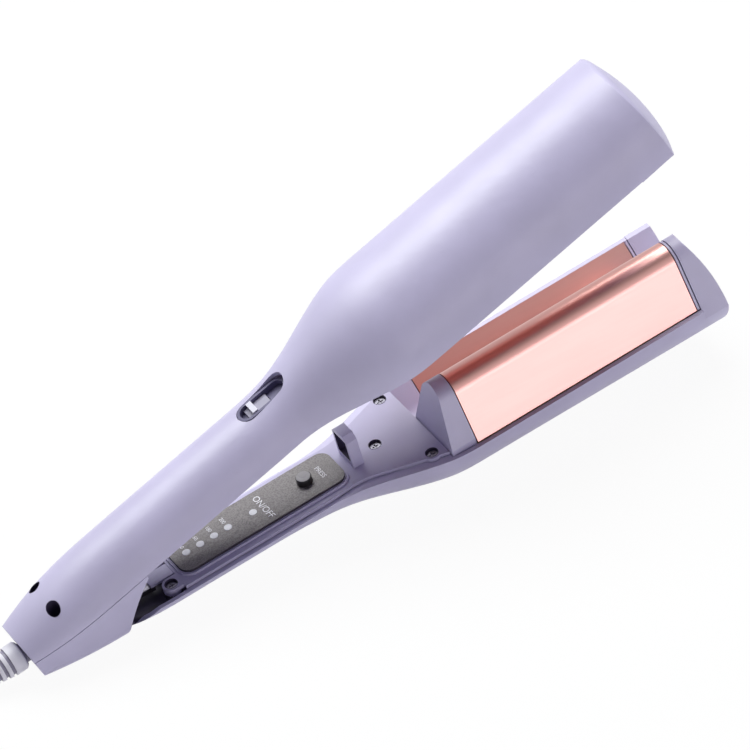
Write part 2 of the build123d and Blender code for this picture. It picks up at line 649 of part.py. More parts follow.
def make_latch_hook():
    side = [
        (-HOOK_HALF_WIDTH, DECK_TOP_Z),
        (HOOK_HALF_WIDTH, DECK_TOP_Z),
        (HOOK_HALF_WIDTH, DECK_TOP_Z + HOOK_HEIGHT - HOOK_CHAMFER),
        (HOOK_HALF_WIDTH - HOOK_CHAMFER, DECK_TOP_Z + HOOK_HEIGHT),
        (-HOOK_HALF_WIDTH + HOOK_CHAMFER, DECK_TOP_Z + HOOK_HEIGHT),
        (-HOOK_HALF_WIDTH, DECK_TOP_Z + HOOK_HEIGHT - HOOK_CHAMFER),
    ]
    start = HOOK_X - HOOK_THICKNESS / 2
    loop = extrude(section_plane(start) * make_face(Polyline(*side, close=True)), HOOK_THICKNESS, dir=(1, 0, 0))
    bottom = DECK_TOP_Z + HOOK_WINDOW_BOTTOM
    loop -= box_between(
        (start - 1, -HOOK_WINDOW_HALF_WIDTH, bottom),
        (start + HOOK_THICKNESS + 1, HOOK_WINDOW_HALF_WIDTH, bottom + HOOK_WINDOW_HEIGHT),
    )
    return loop


def make_deck_screws():
    screws = []
    for x, y in deck_screw_places():
        head = upright(x, y, SCREW_HEAD_RADIUS, SCREW_SEAT_Z, SCREW_SEAT_Z + SCREW_HEAD_HEIGHT)
        head -= Pos(x, y, SCREW_SEAT_Z + SCREW_HEAD_HEIGHT) * Box(2.8, 0.7, 1.2)
        head -= Pos(x, y, SCREW_SEAT_Z + SCREW_HEAD_HEIGHT) * Box(0.7, 2.8, 1.2)
        tip = POST_TOP_Z - screw_reach(x, y) + 0.3
        screws.append(head + upright(x, y, SCREW_SHANK_RADIUS, tip, SCREW_SEAT_Z))
    return Compound(children=screws)


parts["lower_shell"] = LOWER_PLACE * make_lower_shell()
parts["lower_deck"] = LOWER_PLACE * make_lower_deck()
parts["control_panel"] = LOWER_PLACE * make_control_panel()
parts["power_led"] = LOWER_PLACE * light_pipe(POWER_LED_X)
parts["temperature_leds"] = Compound(children=[LOWER_PLACE * light_pipe(x) for x in temperature_led_places()])
parts["power_button"] = LOWER_PLACE * make_power_button()
parts["circuit_board"] = LOWER_PLACE * make_circuit_board()
parts["tact_switch"] = LOWER_PLACE * make_tact_switch()
parts["latch_hook"] = LOWER_PLACE * make_latch_hook()
parts["deck_screws"] = LOWER_PLACE * make_deck_screws()


# ---- lower arm: plate, supports, heating --------------------------------------------------------
HEATER_LOW = PLATE_THICKNESS + CONTACT_GAP
HEATER_HIGH = HEATER_LOW + HEATER_THICKNESS
CLAMP_LOW = HEATER_HIGH + CONTACT_GAP
CLAMP_HIGH = CLAMP_LOW + CLAMP_THICKNESS
HEATER_START_X = PLATE_REAR_X + HEATER_MARGIN
HEATER_END_X = PLATE_FRONT_X - HEATER_MARGIN


def make_lower_support():
    """Block under the plate's rear end: a slanted rear face, then a level band up to the plate."""
    block = wave_side(NOSE_PROUD, -FIELD, SUPPORT_X, SUPPORT_END_X)
    inside = lower_form(WALL + 2 * SEAM_GAP, SUPPORT_X - STATION_PITCH, SUPPORT_END_X + STATION_PITCH)
    inside += box_between((SUPPORT_X, -SUPPORT_HALF_WIDTH, 0), (SUPPORT_END_X, SUPPORT_HALF_WIDTH, FIELD))
    block = block & inside
    slant_top = SUPPORT_END_X - SUPPORT_BAND
    block -= side_prism([(SUPPORT_X - 1, DECK_TOP_Z), (SUPPORT_X, DECK_TOP_Z), (slant_top, CREST_Z),
                         (slant_top, FIELD), (SUPPORT_X - 1, FIELD)], FIELD)
    hollow = wave_side(-2 * WALL, -FIELD, slant_top + WALL, SUPPORT_END_X + 1)
    return block - hollow


def make_lower_insulator():
    inner = WALL + 2 * SEAM_GAP
    cup = lower_form(inner, HEATER_START_X, HEATER_END_X)
    cup -= lower_form(inner + INSULATOR_THICKNESS, HEATER_START_X - WALL, HEATER_END_X + WALL)
    return cup & wave_side(-PLATE_THICKNESS - SEAM_GAP, -FIELD, HEATER_START_X, HEATER_END_X)


def lower_flank_bar(low, high, start=HEATER_START_X, end=HEATER_END_X, width=HEATER_WIDTH):
    return flank_bar(NEAR_EDGE, NEAR_SLOPE, 1, HEATER_START, width, -high, -low, start, end)


FUSE_RADIUS = 2.0
FUSE_LENGTH = 12.0


def make_thermal_fuse():
    """Small can that lies along the clamp, over the middle of the heater."""
    centre = NEAR_EDGE + Vector(math.cos(NEAR_SLOPE), math.sin(NEAR_SLOPE)) * (HEATER_START + HEATER_WIDTH / 2)
    centre = centre - normal(NEAR_SLOPE) * (CLAMP_HIGH + CONTACT_GAP + FUSE_RADIUS)
    middle = (HEATER_START_X + HEATER_END_X) / 2
    return Pos(middle, centre.X, centre.Y) * Rot(0, 90, 0) * Cylinder(FUSE_RADIUS, FUSE_LENGTH)


parts["lower_heat_plate"] = LOWER_PLACE * wave_sheet(-PLATE_THICKNESS, 0, PLATE_REAR_X, PLATE_FRONT_X)
parts["lower_plate_trim"] = LOWER_PLACE * wave_sheet(-PLATE_THICKNESS, 0, TRIM_X, TRIM_X + TRIM_THICKNESS)
parts["lower_rear_support"] = LOWER_PLACE * make_lower_support()
parts["lower_heater"] = LOWER_PLACE * lower_flank_bar(HEATER_LOW, HEATER_HIGH)
parts["lower_heater_clamp"] = LOWER_PLACE * lower_flank_bar(CLAMP_LOW, CLAMP_HIGH)
parts["lower_insulator"] = LOWER_PLACE * make_lower_insulator()
parts["thermal_fuse"] = LOWER_PLACE * make_thermal_fuse()


# ---- lower arm: hinge knuckle -------------------------------------------------------------------
def make_hinge_knuckle():
    eye = crosswise(0, 0, KNUCKLE_RADIUS, -KNUCKLE_HALF_WIDTH, KNUCKLE_HALF_WIDTH)
    low = -(TAIL_DEPTH - WALL) + 0.4
    tongue = box_between((0, -KNUCKLE_HALF_WIDTH, low), (TONGUE_END_X, KNUCKLE_HALF_WIDTH, low + TONGUE_HEIGHT))
    knuckle = eye + tongue
    return knuckle - crosswise(0, 0, PIN_RADIUS + FIT_GAP, -FIELD, FIELD)


parts["hinge_knuckle"] = LOWER_PLACE * make_hinge_knuckle()


# ---- upper arm: casing --------------------------------------------------------------------------
def well(radius, low, high):
    """The two screw wells stand square to the upper rim."""
    pair = [upright(HOUSING_SCREW_X, y, radius, low, high) for y in (-HOUSING_SCREW_Y, HOUSING_SCREW_Y)]
    return pair[0] + pair[1]


WELL_FLOOR = 3.5             # above the upper rim
LOCK_CROWN_Z = upper_height(LOCK_X)


def stadium(length, width, z, height, x=LOCK_X):
    return extrude(Pos(x, 0, z) * SlotOverall(length, width), height)


def upper_end_limit():
    """Everything behind the domed front face of the upper arm, in the rim frame."""
    tip, top = UPPER_TIP_X, BARREL_HEIGHT
    inner = top - TIP_EDGE
    start = (tip + TIP_DOME * (1 - (inner / top) ** 2), inner)
    bend = (tip - 0.2 * TIP_EDGE, top - 0.12 * TIP_EDGE)
    end = (tip - TIP_EDGE, top + SEAM_GAP)
    outline = [
        Line((-FIELD, 0), (tip + TIP_DOME, 0)),
        ThreePointArc((tip + TIP_DOME, 0), (tip + TIP_DOME * (1 - (0.5 * inner / top) ** 2), inner / 2), start),
        ThreePointArc(start, bend, end),
        Line(end, (tip - TIP_EDGE - 1, FIELD)),
        Line((tip - TIP_EDGE - 1, FIELD), (-FIELD, FIELD)),
        Line((-FIELD, FIELD), (-FIELD, 0)),
    ]
    return revolve(make_face(outline), Axis.X)


def boot_frame():
    """Swivel centre on the rear face, in the closed frame: its Z axis points out along the boot."""
    centre = UPPER_RIM * Location((REAR_FACE_X, 0, -BOOT_DROP))
    return centre * Location((0, 0, 0), (0, -90 + BOOT_TILT, 0))


def boot_hole():
    return boot_frame() * Cylinder(BOOT_NECK_RADIUS + SEAM_GAP, 4 * WALL)


UPPER_LOW = PLATE_GAP
UPPER_HIGH = PLATE_GAP + PLATE_THICKNESS
UPPER_NOSE_OFFSET = PLATE_GAP - NOSE_PROUD


def make_upper_shell():
    end = UPPER_TIP_X + TIP_DOME
    outer = upper_form(0, REAR_FACE_X, end)
    shell = outer - (upper_form(WALL, REAR_FACE_X + WALL, end) & behind(NOSE_X))
    shell += well(SCREW_WELL_RADIUS + 1.2, CONTACT_GAP, FIELD) & outer
    shell -= well(SCREW_WELL_RADIUS, WELL_FLOOR, FIELD)
    shell -= well(SCREW_SHANK_RADIUS + 0.2, -1, WELL_FLOOR + 1)
    shell -= stadium(LOCK_SLOT_LENGTH, LOCK_SLOT_WIDTH, 0, FIELD)
    shell = UPPER_RIM * (shell & upper_end_limit())
    # nose: the wave runs on over the front end
    hump_field = UPPER_RIM * (box_between((NOSE_X, -BARREL_HALF_WIDTH, -FIELD), (end, BARREL_HALF_WIDTH, 0))
                              & upper_end_limit())
    shell -= wave_side(UPPER_NOSE_OFFSET, -FIELD, NOSE_X - 1, end + 1)
    shell += wave_side(UPPER_NOSE_OFFSET, FIELD, NOSE_X, end) & hump_field
    cap = UPPER_RIM * (outer & upper_end_limit())
    shell += cap & box_between((LOWER_TIP_X + CAP_PLAY, -FIELD, -FIELD), (end + 1, FIELD, FIELD))
    # relief in the wall over the plate's crest
    relief = wave_sheet(0, UPPER_HIGH + SEAM_GAP, PLATE_REAR_X - END_GAP, NOSE_X)
    shell -= relief & box_between((0, -FIELD, CREST_Z - 2 * CREST_RADIUS), (end, 0, FIELD))
    return shell - boot_hole()


def rear_corner_limit():
    """All but the round lower corner of the housing's rear end, in the rim frame."""
    x, r, end = REAR_FACE_X, REAR_CORNER, BELLY_END_X + WALL
    corner = -belly_depth(x)
    start, bend = (x, corner + r), (x + 0.38 * r, corner + 0.08 * r)
    low, far = (x + r, -belly_depth(x + r) - CONTACT_GAP), (end, -belly_depth(end) - CONTACT_GAP)
    outline = [
        Line((x, 1), start),
        ThreePointArc(start, bend, low),
        Line(low, far),
        Line(far, (end, 1)),
        Line((end, 1), (x, 1)),
    ]
    return extrude(SIDE_PLANE * make_face(outline), FIELD, both=True)


def seam_groove():
    """Shadow line between the cover and the casing, all round the outside."""
    x, depth = REAR_FACE_X - 1, 0.8
    band = box_between((x, -FIELD, -SEAM_GAP), (BELLY_END_X + 1, FIELD, 1))
    return band - belly_form(depth, REAR_FACE_X + depth, BELLY_END_X + 1)


def make_belly_cover():
    outer = belly_form(0, REAR_FACE_X, BELLY_END_X)
    cover = outer - belly_form(WALL, REAR_FACE_X + WALL, BELLY_END_X + WALL)
    outer = outer & rear_corner_limit()
    outer, cover = UPPER_RIM * outer, UPPER_RIM * (cover - seam_groove())
    cover = cover & outer & mouth_limit()
    ears = None
    for side in (-1, 1):
        y_in, y_out = side * EAR_INNER_Y, side * (EAR_INNER_Y + EAR_THICKNESS)
        low_y, high_y = min(y_in, y_out), max(y_in, y_out)
        ear = box_between((-EAR_RADIUS, low_y, -FIELD), (TAIL_X - WALL, high_y, 0))
        ear += UPPER_RIM * box_between((-EAR_RADIUS, low_y, -RIM_GAP_REAR), (HOUSING_SCREW_X + 2.4, high_y, 0))
        ears = ear if ears is None else ears + ear
    cover += ears & outer
    cover -= crosswise(0, 0, PIN_RADIUS, -PIN_HALF_LENGTH, PIN_HALF_LENGTH)
    cover -= UPPER_RIM * well(SCREW_SHANK_RADIUS, -5.5, 1)
    return cover - boot_hole() - SWING_OPEN.inverse() * floor_cutter()


def make_inner_cover():
    xs = stations(INNER_COVER_START_X, INNER_COVER_END_X)
    level = INNER_COVER_Z + INNER_COVER_THICKNESS
    left = [(x, (upper_half_width(x) - WALL) * math.sqrt(1 - (level / (upper_height(x) - WALL)) ** 2) - SEAM_GAP)
            for x in xs]
    far, near = Spline(*left), Spline(*[(x, -y) for x, y in reversed(left)])
    face = make_face([far, Line(far @ 1, near @ 0), near, Line(near @ 1, far @ 0)])
    cover = extrude(Pos(0, 0, INNER_COVER_Z) * face, INNER_COVER_THICKNESS)
    slot_x = HOOK_THICKNESS / 2 + HOOK_SLOT_MARGIN
    slot_y = HOOK_HALF_WIDTH + HOOK_SLOT_MARGIN
    return cover - box_between((HOOK_X - slot_x, -slot_y, 0), (HOOK_X + slot_x + 1, slot_y, level + 1))


def make_housing_screws():
    screws = []
    for y in (-HOUSING_SCREW_Y, HOUSING_SCREW_Y):
        head = upright(HOUSING_SCREW_X, y, SCREW_HEAD_RADIUS, WELL_FLOOR, WELL_FLOOR + SCREW_HEAD_HEIGHT)
        head -= Pos(HOUSING_SCREW_X, y, WELL_FLOOR + SCREW_HEAD_HEIGHT) * Box(2.8, 0.7, 1.2)
        head -= Pos(HOUSING_SCREW_X, y, WELL_FLOOR + SCREW_HEAD_HEIGHT) * Box(0.7, 2.8, 1.2)
        screws.append(head + upright(HOUSING_SCREW_X, y, SCREW_SHANK_RADIUS, -5.0, WELL_FLOOR))
    return Compound(children=screws)


RIM_PLACE = UPPER_PLACE * UPPER_RIM
parts["upper_shell"] = UPPER_PLACE * make_upper_shell()
parts["rear_belly_cover"] = UPPER_PLACE * make_belly_cover()
parts["upper_inner_cover"] = RIM_PLACE * make_inner_cover()
parts["housing_screws"] = RIM_PLACE * make_housing_screws()


# ---- upper arm: plate, supports, heating --------------------------------------------------------
def make_upper_support():
    block = wave_side(UPPER_NOSE_OFFSET, FIELD, SUPPORT_X, SUPPORT_END_X)
    inside = UPPER_RIM * upper_form(WALL + 2 * SEAM_GAP, SUPPORT_X - STATION_PITCH, SUPPORT_END_X + STATION_PITCH)
    inside += UPPER_RIM * box_between((SUPPORT_X, -SUPPORT_HALF_WIDTH, -FIELD), (SUPPORT_END_X, SUPPORT_HALF_WIDTH, 0))
    block = block & inside & box_between((SUPPORT_X, -FIELD, -FIELD), (SUPPORT_END_X, FIELD, FIELD))
    slant_top = SUPPORT_END_X - SUPPORT_BAND
    block -= side_prism([(SUPPORT_X - 1, 0), (SUPPORT_X, 0), (slant_top, TROUGH_Z), (slant_top, -FIELD),
                         (SUPPORT_X - 1, -FIELD)], FIELD)
    return block - wave_side(UPPER_NOSE_OFFSET + 2 * WALL, FIELD, slant_top + WALL, SUPPORT_END_X + 1)


def upper_flank_bar(low, high):
    """On the middle flank of the upper wave, which faces the casing's side."""
    edge = Vector(*wave_points(0)[4])
    return flank_bar(edge, MIDDLE_SLOPE, -1, HEATER_START, HEATER_WIDTH, low, high, HEATER_START_X, HEATER_END_X)


def make_upper_insulator():
    start, end = HEATER_START_X, HEATER_END_X
    inner = WALL + 2 * SEAM_GAP
    cup = upper_form(inner, start, end)
    cup -= upper_form(inner + INSULATOR_THICKNESS, start - WALL, end + WALL)
    cup = UPPER_RIM * cup
    return cup & wave_side(UPPER_HIGH + SEAM_GAP, FIELD, start, end)


parts["upper_heat_plate"] = UPPER_PLACE * wave_sheet(UPPER_LOW, UPPER_HIGH, PLATE_REAR_X, PLATE_FRONT_X)
parts["upper_plate_trim"] = UPPER_PLACE * wave_sheet(UPPER_LOW, UPPER_HIGH, TRIM_X, TRIM_X + TRIM_THICKNESS)
parts["upper_rear_support"] = UPPER_PLACE * make_upper_support()
parts["upper_heater"] = UPPER_PLACE * upper_flank_bar(UPPER_HIGH + CONTACT_GAP, UPPER_HIGH + CONTACT_GAP + HEATER_THICKNESS)
UPPER_CLAMP_LOW = UPPER_HIGH + 2 * CONTACT_GAP + HEATER_THICKNESS
parts["upper_heater_clamp"] = UPPER_PLACE * upper_flank_bar(UPPER_CLAMP_LOW, UPPER_CLAMP_LOW + CLAMP_THICKNESS)
parts["upper_insulator"] = UPPER_PLACE * make_upper_insulator()


# ---- hinge pin and spring -----------------------------------------------------------------------
def make_hinge_pin():
    return crosswise(0, 0, PIN_RADIUS, -PIN_HALF_LENGTH, PIN_HALF_LENGTH)


def make_torsion_spring():
    """Coil round the pin, between the knuckle and one ear."""
    radius = PIN_RADIUS + SEAM_GAP + SPRING_WIRE / 2
    coil = Helix(pitch=SPRING_PITCH, height=SPRING_TURNS * SPRING_PITCH, radius=radius)
    wire = Plane(origin=coil @ 0, z_dir=coil % 0) * Circle(SPRING_WIRE / 2)
    first = KNUCKLE_HALF_WIDTH + SEAM_GAP + SPRING_WIRE / 2
    return Pos(0, first, 0) * Rot(-90, 0, 0) * sweep(wire, path=coil, is_frenet=True)


parts["hinge_pin"] = UPPER_PLACE * make_hinge_pin()
parts["torsion_spring"] = UPPER_PLACE * make_torsion_spring()


# ---- slide lock ---------------------------------------------------------------------------------
GUIDE_FLOOR_Z = LOCK_CROWN_Z - LOCK_GUIDE_DEPTH
KNOB_TOP_Z = LOCK_CROWN_Z - 0.6
LOCK_START_X = LOCK_X - LOCK_SETBACK
BOLT_END_X = HOOK_X - HOOK_THICKNESS / 2 - 1.0


def make_lock_guide():
    """Tray under the crown slot, with a slit for the slider's stem."""
    length, width = LOCK_SLOT_LENGTH - 2 * SEAM_GAP, LOCK_SLOT_WIDTH - 2 * SEAM_GAP
    top = LOCK_CROWN_Z - 1.2
    tray = stadium(length, width, GUIDE_FLOOR_Z - LOCK_GUIDE_WALL, top - GUIDE_FLOOR_Z + LOCK_GUIDE_WALL)
    tray -= stadium(length - 2 * LOCK_GUIDE_WALL, width - 2 * LOCK_GUIDE_WALL, GUIDE_FLOOR_Z, FIELD)
    slit = LOCK_STEM_WIDTH + LOCK_TRAVEL + 1.0
    middle = LOCK_START_X + LOCK_TRAVEL / 2
    return tray - Pos(middle, 0, GUIDE_FLOOR_Z) * Box(slit, LOCK_STEM_WIDTH + 0.6, 4 * LOCK_GUIDE_WALL)


def make_lock_slider():
    """Knob plate over the guide; its stem ends in a bolt that slides under the hook's top bar."""
    x = LOCK_START_X
    width = LOCK_SLOT_WIDTH - 2 * SEAM_GAP - 2 * LOCK_GUIDE_WALL - 2 * SEAM_GAP
    low = GUIDE_FLOOR_Z + CONTACT_GAP
    slider = box_between((x - LOCK_PLATE_REAR, -width / 2, low), (x + LOCK_PLATE_FRONT, width / 2, low + 1.2))
    slider += box_between((x - 1.2, -width / 2, low), (x + 1.2, width / 2, KNOB_TOP_Z))
    half = LOCK_STEM_WIDTH / 2
    bolt_top = DECK_TOP_Z + HOOK_WINDOW_BOTTOM + HOOK_WINDOW_HEIGHT - rim_gap(HOOK_X) - LOCK_BOLT_PLAY
    bolt_low = bolt_top - LOCK_BOLT_THICKNESS
    slider += box_between((x - half, -half, bolt_low), (x + half, half, low + 1))
    return slider + box_between((x, -half, bolt_low), (BOLT_END_X, half, bolt_top))


parts["lock_guide"] = RIM_PLACE * make_lock_guide()
parts["lock_slider"] = RIM_PLACE * make_lock_slider()


# ---- cord boot and its socket -------------------------------------------------------------------
BOOT_START = 1.35            # from the rear face to the boot's outer body


def make_cord_boot():
    """Ribbed strain relief with a neck through the rear face and a flange that turns inside it."""
    flange_low = -WALL - 1.6 - BOOT_FLANGE_THICKNESS
    ribs_start = BOOT_START + BOOT_PLAIN_LENGTH
    outline = [
        (0, flange_low),
        (BOOT_FLANGE_RADIUS, flange_low),
        (BOOT_FLANGE_RADIUS, flange_low + BOOT_FLANGE_THICKNESS),
        (BOOT_NECK_RADIUS, flange_low + BOOT_FLANGE_THICKNESS),
        (BOOT_NECK_RADIUS, BOOT_START),
        (BOOT_RADIUS - 1, BOOT_START),
        (BOOT_RADIUS, BOOT_START + 1),
        (BOOT_RADIUS, ribs_start),
    ]
    pitch = (BOOT_LENGTH - BOOT_TIP_LENGTH - ribs_start) / BOOT_RIB_COUNT
    slope = (BOOT_RADIUS - BOOT_END_RADIUS) / (BOOT_LENGTH - ribs_start)
    for i in range(BOOT_RIB_COUNT):
        groove, rib = i * pitch, i * pitch + BOOT_GROOVE_WIDTH
        inner = BOOT_RADIUS - slope * groove - BOOT_RIB_DEPTH
        outline += [(inner, ribs_start + groove), (inner, ribs_start + rib), (BOOT_RADIUS - slope * rib, ribs_start + rib)]
        outline += [(BOOT_RADIUS - slope * (i + 1) * pitch, ribs_start + (i + 1) * pitch)]
    outline += [(BOOT_END_RADIUS, BOOT_LENGTH), (0, BOOT_LENGTH)]
    face = Plane.XZ * make_face(Polyline(*outline, close=True))
    return boot_frame() * revolve(face, Axis.Z)


def make_cord_socket():
    """Ring on the inside of the rear wall that the boot's flange turns in."""
    inner = BOOT_FLANGE_RADIUS + SEAM_GAP
    middle = -WALL - SOCKET_GAP - SOCKET_LENGTH / 2
    ring = Pos(0, 0, middle) * Cylinder(inner + SOCKET_WALL, SOCKET_LENGTH)
    ring -= Pos(0, 0, middle) * Cylinder(inner, SOCKET_LENGTH + 2)
    return boot_frame() * ring


parts["cord_boot"] = UPPER_PLACE * make_cord_boot()
parts["cord_socket"] = UPPER_PLACE * make_cord_socket()


# ---- mains cord ---------------------------------------------------------------------------------
BOOT_PLACE = UPPER_PLACE * boot_frame()
CORD_EXIT = (BOOT_PLACE * Location((0, 0, BOOT_LENGTH + SEAM_GAP))).position
FLOOR_LEVEL = CORD_RADIUS + 0.1
COIL_BOTTOM = TIE_THICKNESS + 0.1
COIL_TOP = COIL_BOTTOM + COIL_BUNDLE
OUTER_TURN_Y = COIL_CENTRE[1] - COIL_RADIUS - 2 * CORD_RADIUS
ROUTE = [
    tuple(CORD_EXIT),
    (-232.5, 0.0, 3.4),
    (-247.0, -6.0, FLOOR_LEVEL),
    (-264.0, OUTER_TURN_Y, COIL_BOTTOM + CORD_RADIUS),
    (COIL_CENTRE[0], OUTER_TURN_Y, COIL_BOTTOM + CORD_RADIUS),
]
PLUG_AXIS_Z = COIL_TOP + 0.2 + PLUG_THICKNESS / 2
LEAD_CENTRE = (COIL_CENTRE[0] - COIL_RADIUS + LEAD_RADIUS, COIL_CENTRE[1])


def bend_radius(before, corner, after):
    """Largest arc that the two runs beside a corner of the route allow."""
    a, b = corner - before, after - corner
    turn = math.radians(a.get_angle(b))
    return 0.45 * min(a.length, b.length) / math.tan(turn / 2)


def cord_tube(points, radius=CORD_RADIUS):
    points = [Vector(*p) for p in points]
    radii = [bend_radius(*points[i:i + 3]) for i in range(len(points) - 2)]
    path = FilletPolyline(*points, radius=radii)
    tube = sweep(Plane(origin=path @ 0, z_dir=path % 0) * Circle(radius), path=path)
    share = tube.volume / (math.pi * radius**2 * path.length)
    print("cord length", round(path.length, 1), "bend radii", [round(r, 1) for r in radii], "volume share", round(share, 4))
    return tube


def make_cord_coil():
    """All the turns as one ring, with a bed where each end of the cord runs into it."""
    middle = (COIL_BOTTOM + COIL_TOP) / 2
    face = Plane.XZ * Pos(COIL_RADIUS, middle) * RectangleRounded(COIL_BUNDLE, COIL_BUNDLE, COIL_CORNER)
    ring = Pos(*COIL_CENTRE, 0) * revolve(face, Axis.Z)
    return ring - cord_tube(ROUTE, CORD_RADIUS + CONTACT_GAP) - cord_tube(lead_points(), CORD_RADIUS + CONTACT_GAP)


def make_cord_tie():
    middle = (COIL_BOTTOM + COIL_TOP) / 2
    outside = COIL_BUNDLE + 2 * TIE_THICKNESS
    corner = COIL_CORNER + TIE_THICKNESS
    ring = RectangleRounded(outside, outside, corner) - RectangleRounded(COIL_BUNDLE + 0.1, COIL_BUNDLE + 0.1, COIL_CORNER)
    arc = math.degrees(TIE_WIDTH / COIL_RADIUS)
    band = revolve(Plane.XZ * Pos(COIL_RADIUS, middle) * ring, Axis.Z, arc)
    return Pos(*COIL_CENTRE, 0) * Rot(0, 0, TIE_ANGLE) * band


def lead_points():
    """A quarter turn from the top of the coil, rising to the plug that lies on it."""
    low, high = COIL_TOP - CORD_RADIUS, PLUG_AXIS_Z
    corner = LEAD_RADIUS / math.cos(math.radians(15))
    points = [(LEAD_CENTRE[0] - LEAD_RADIUS, LEAD_CENTRE[1], low)]
    for angle, z in ((165, low), (135, (low + high) / 2), (105, high)):
        turn = math.radians(angle)
        points.append((LEAD_CENTRE[0] + corner * math.cos(turn), LEAD_CENTRE[1] + corner * math.sin(turn), z))
    return points + [(LEAD_CENTRE[0], LEAD_CENTRE[1] + LEAD_RADIUS, high)]


PLUG_START = (LEAD_CENTRE[0] + CONTACT_GAP, LEAD_CENTRE[1] + LEAD_RADIUS, PLUG_AXIS_Z)
PLUG_FRAME = Location(PLUG_START, (0, 90, 0)) * Rot(0, 0, 90)


def make_plug_body():
    """Flat two-pin plug: a tapered neck and a body that widens towards the pins."""
    neck = Pos(0, 0, PLUG_NECK_LENGTH / 2) * Cylinder(PLUG_NECK_RADIUS, PLUG_NECK_LENGTH)
    sections = []
    for share, size in ((0.0, 0.5), (0.35, 0.9), (0.7, 1.0), (1.0, 0.95)):
        width, thickness = PLUG_WIDTH * size, PLUG_THICKNESS * min(1.0, size + 0.1)
        z = PLUG_NECK_LENGTH + PLUG_LENGTH * share
        sections.append(Pos(0, 0, z) * RectangleRounded(width, thickness, 0.42 * thickness))
    return PLUG_FRAME * (neck + loft(sections, ruled=True))


def make_plug_pins():
    start = PLUG_NECK_LENGTH + PLUG_LENGTH
    pins = []
    for x in (-PLUG_PIN_SPACING / 2, PLUG_PIN_SPACING / 2):
        pin = Pos(x, 0, start + PLUG_PIN_LENGTH / 2) * Cylinder(PLUG_PIN_RADIUS, PLUG_PIN_LENGTH)
        pins.append(chamfer(pin.edges().group_by(Axis.Z)[-1], 0.8))
    return PLUG_FRAME * Compound(children=pins)


parts["mains_cord"] = cord_tube(ROUTE)
parts["cord_coil"] = make_cord_coil()
parts["cord_tie"] = make_cord_tie()
parts["plug_lead"] = cord_tube(lead_points())
parts["plug_body"] = make_plug_body()
parts["plug_pins"] = make_plug_pins()


# ---- write --------------------------------------------------------------------------------------
os.makedirs("parts", exist_ok=True)
for name, part in parts.items():
    export_step(part, f"parts/{name}.step")
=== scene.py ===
# %% [markdown]
# # A hair waver, dressed for its portrait
#
# The solid parts of this hair waver were drawn in CAD: two arms on a hinge, waved heat plates, a
# control panel, a slide lock and a ribbed boot for the cord. This lesson loads them as a fixed frame,
# gives every one of them a finish, and models the few pieces that are easier to make in Blender:
# the printed words, dark linings that paint the shade in the hollows, and the cord with its coil.

# %% Load the frame
import bpy
import json
import math
from mathutils import Matrix, Vector

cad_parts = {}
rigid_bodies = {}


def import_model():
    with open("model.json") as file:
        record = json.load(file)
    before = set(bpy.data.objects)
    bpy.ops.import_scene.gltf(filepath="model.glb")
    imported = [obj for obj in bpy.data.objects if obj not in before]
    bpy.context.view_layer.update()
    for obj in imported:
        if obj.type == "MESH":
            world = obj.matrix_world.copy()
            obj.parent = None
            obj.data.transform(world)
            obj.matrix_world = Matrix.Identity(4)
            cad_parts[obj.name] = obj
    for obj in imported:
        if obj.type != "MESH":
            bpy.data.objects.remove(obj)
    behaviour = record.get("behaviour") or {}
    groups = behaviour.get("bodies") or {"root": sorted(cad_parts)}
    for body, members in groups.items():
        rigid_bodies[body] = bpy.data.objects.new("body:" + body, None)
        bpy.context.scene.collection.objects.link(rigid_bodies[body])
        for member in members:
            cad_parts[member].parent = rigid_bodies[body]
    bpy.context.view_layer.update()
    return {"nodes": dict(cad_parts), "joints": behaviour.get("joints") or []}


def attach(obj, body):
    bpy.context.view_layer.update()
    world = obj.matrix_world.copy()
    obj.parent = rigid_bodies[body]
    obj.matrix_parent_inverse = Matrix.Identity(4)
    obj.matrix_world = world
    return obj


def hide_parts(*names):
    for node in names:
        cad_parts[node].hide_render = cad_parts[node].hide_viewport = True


for leftover in list(bpy.data.objects):
    bpy.data.objects.remove(leftover, do_unlink=True)
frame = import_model()
nodes = frame["nodes"]
MM = 0.001

# %% [markdown]
# ## Two helper frames
#
# The arms lie at a slant, so a word on the control panel can't be placed along the world's axes. The
# record knows the slant: the power button is pressed straight down into its panel, and the slide lock
# runs along the upper arm's rim. One direction and one known place are enough to build a matrix for
# each arm, in which X runs to the tip, Y to the left and Z out of the deck or the rim.


# %% A matrix for each arm
def arm_matrix(up):
    up = Vector(up).normalized()
    left = Vector((0, 1, 0))
    return Matrix((left.cross(up), left, up)).transposed().to_4x4()


joints = {joint["name"]: joint for joint in frame["joints"]}
hinge_place = Vector(joints["arm_hinge"]["pos_m"])
LOWER_ARM = Matrix.Translation(hinge_place) @ arm_matrix(-Vector(joints["power_button_press"]["axis"]))
rim_direction = Vector(joints["lock_slide"]["axis"])
rim_axes = arm_matrix(rim_direction.cross(Vector((0, 1, 0))))
boot_axis = Vector(joints["boot_swivel"]["axis"]).normalized()
boot_place = Vector(joints["boot_swivel"]["pos_m"])
BOOT_ON_RIM = Vector((-11.0, 0.0, -3.6)) * MM
UPPER_RIM = Matrix.Translation(boot_place) @ rim_axes @ Matrix.Translation(-BOOT_ON_RIM)
for label, frame_matrix in (("deck", LOWER_ARM), ("rim", UPPER_RIM)):
    print(label, "tilt:", round(math.degrees(frame_matrix.to_euler().y), 2), "degrees")

# %% [markdown]
# ## Shared effects as node groups
#
# Real moulded plastic is never one flat colour. Its mould was spark-eroded, which leaves a very fine
# grain, and hands leave broad, faint patches that shine a little differently. Both effects are used by
# most of the materials here, so each is a node group that is built once. A group gives out only
# masks; the shader that uses them stays in the material.


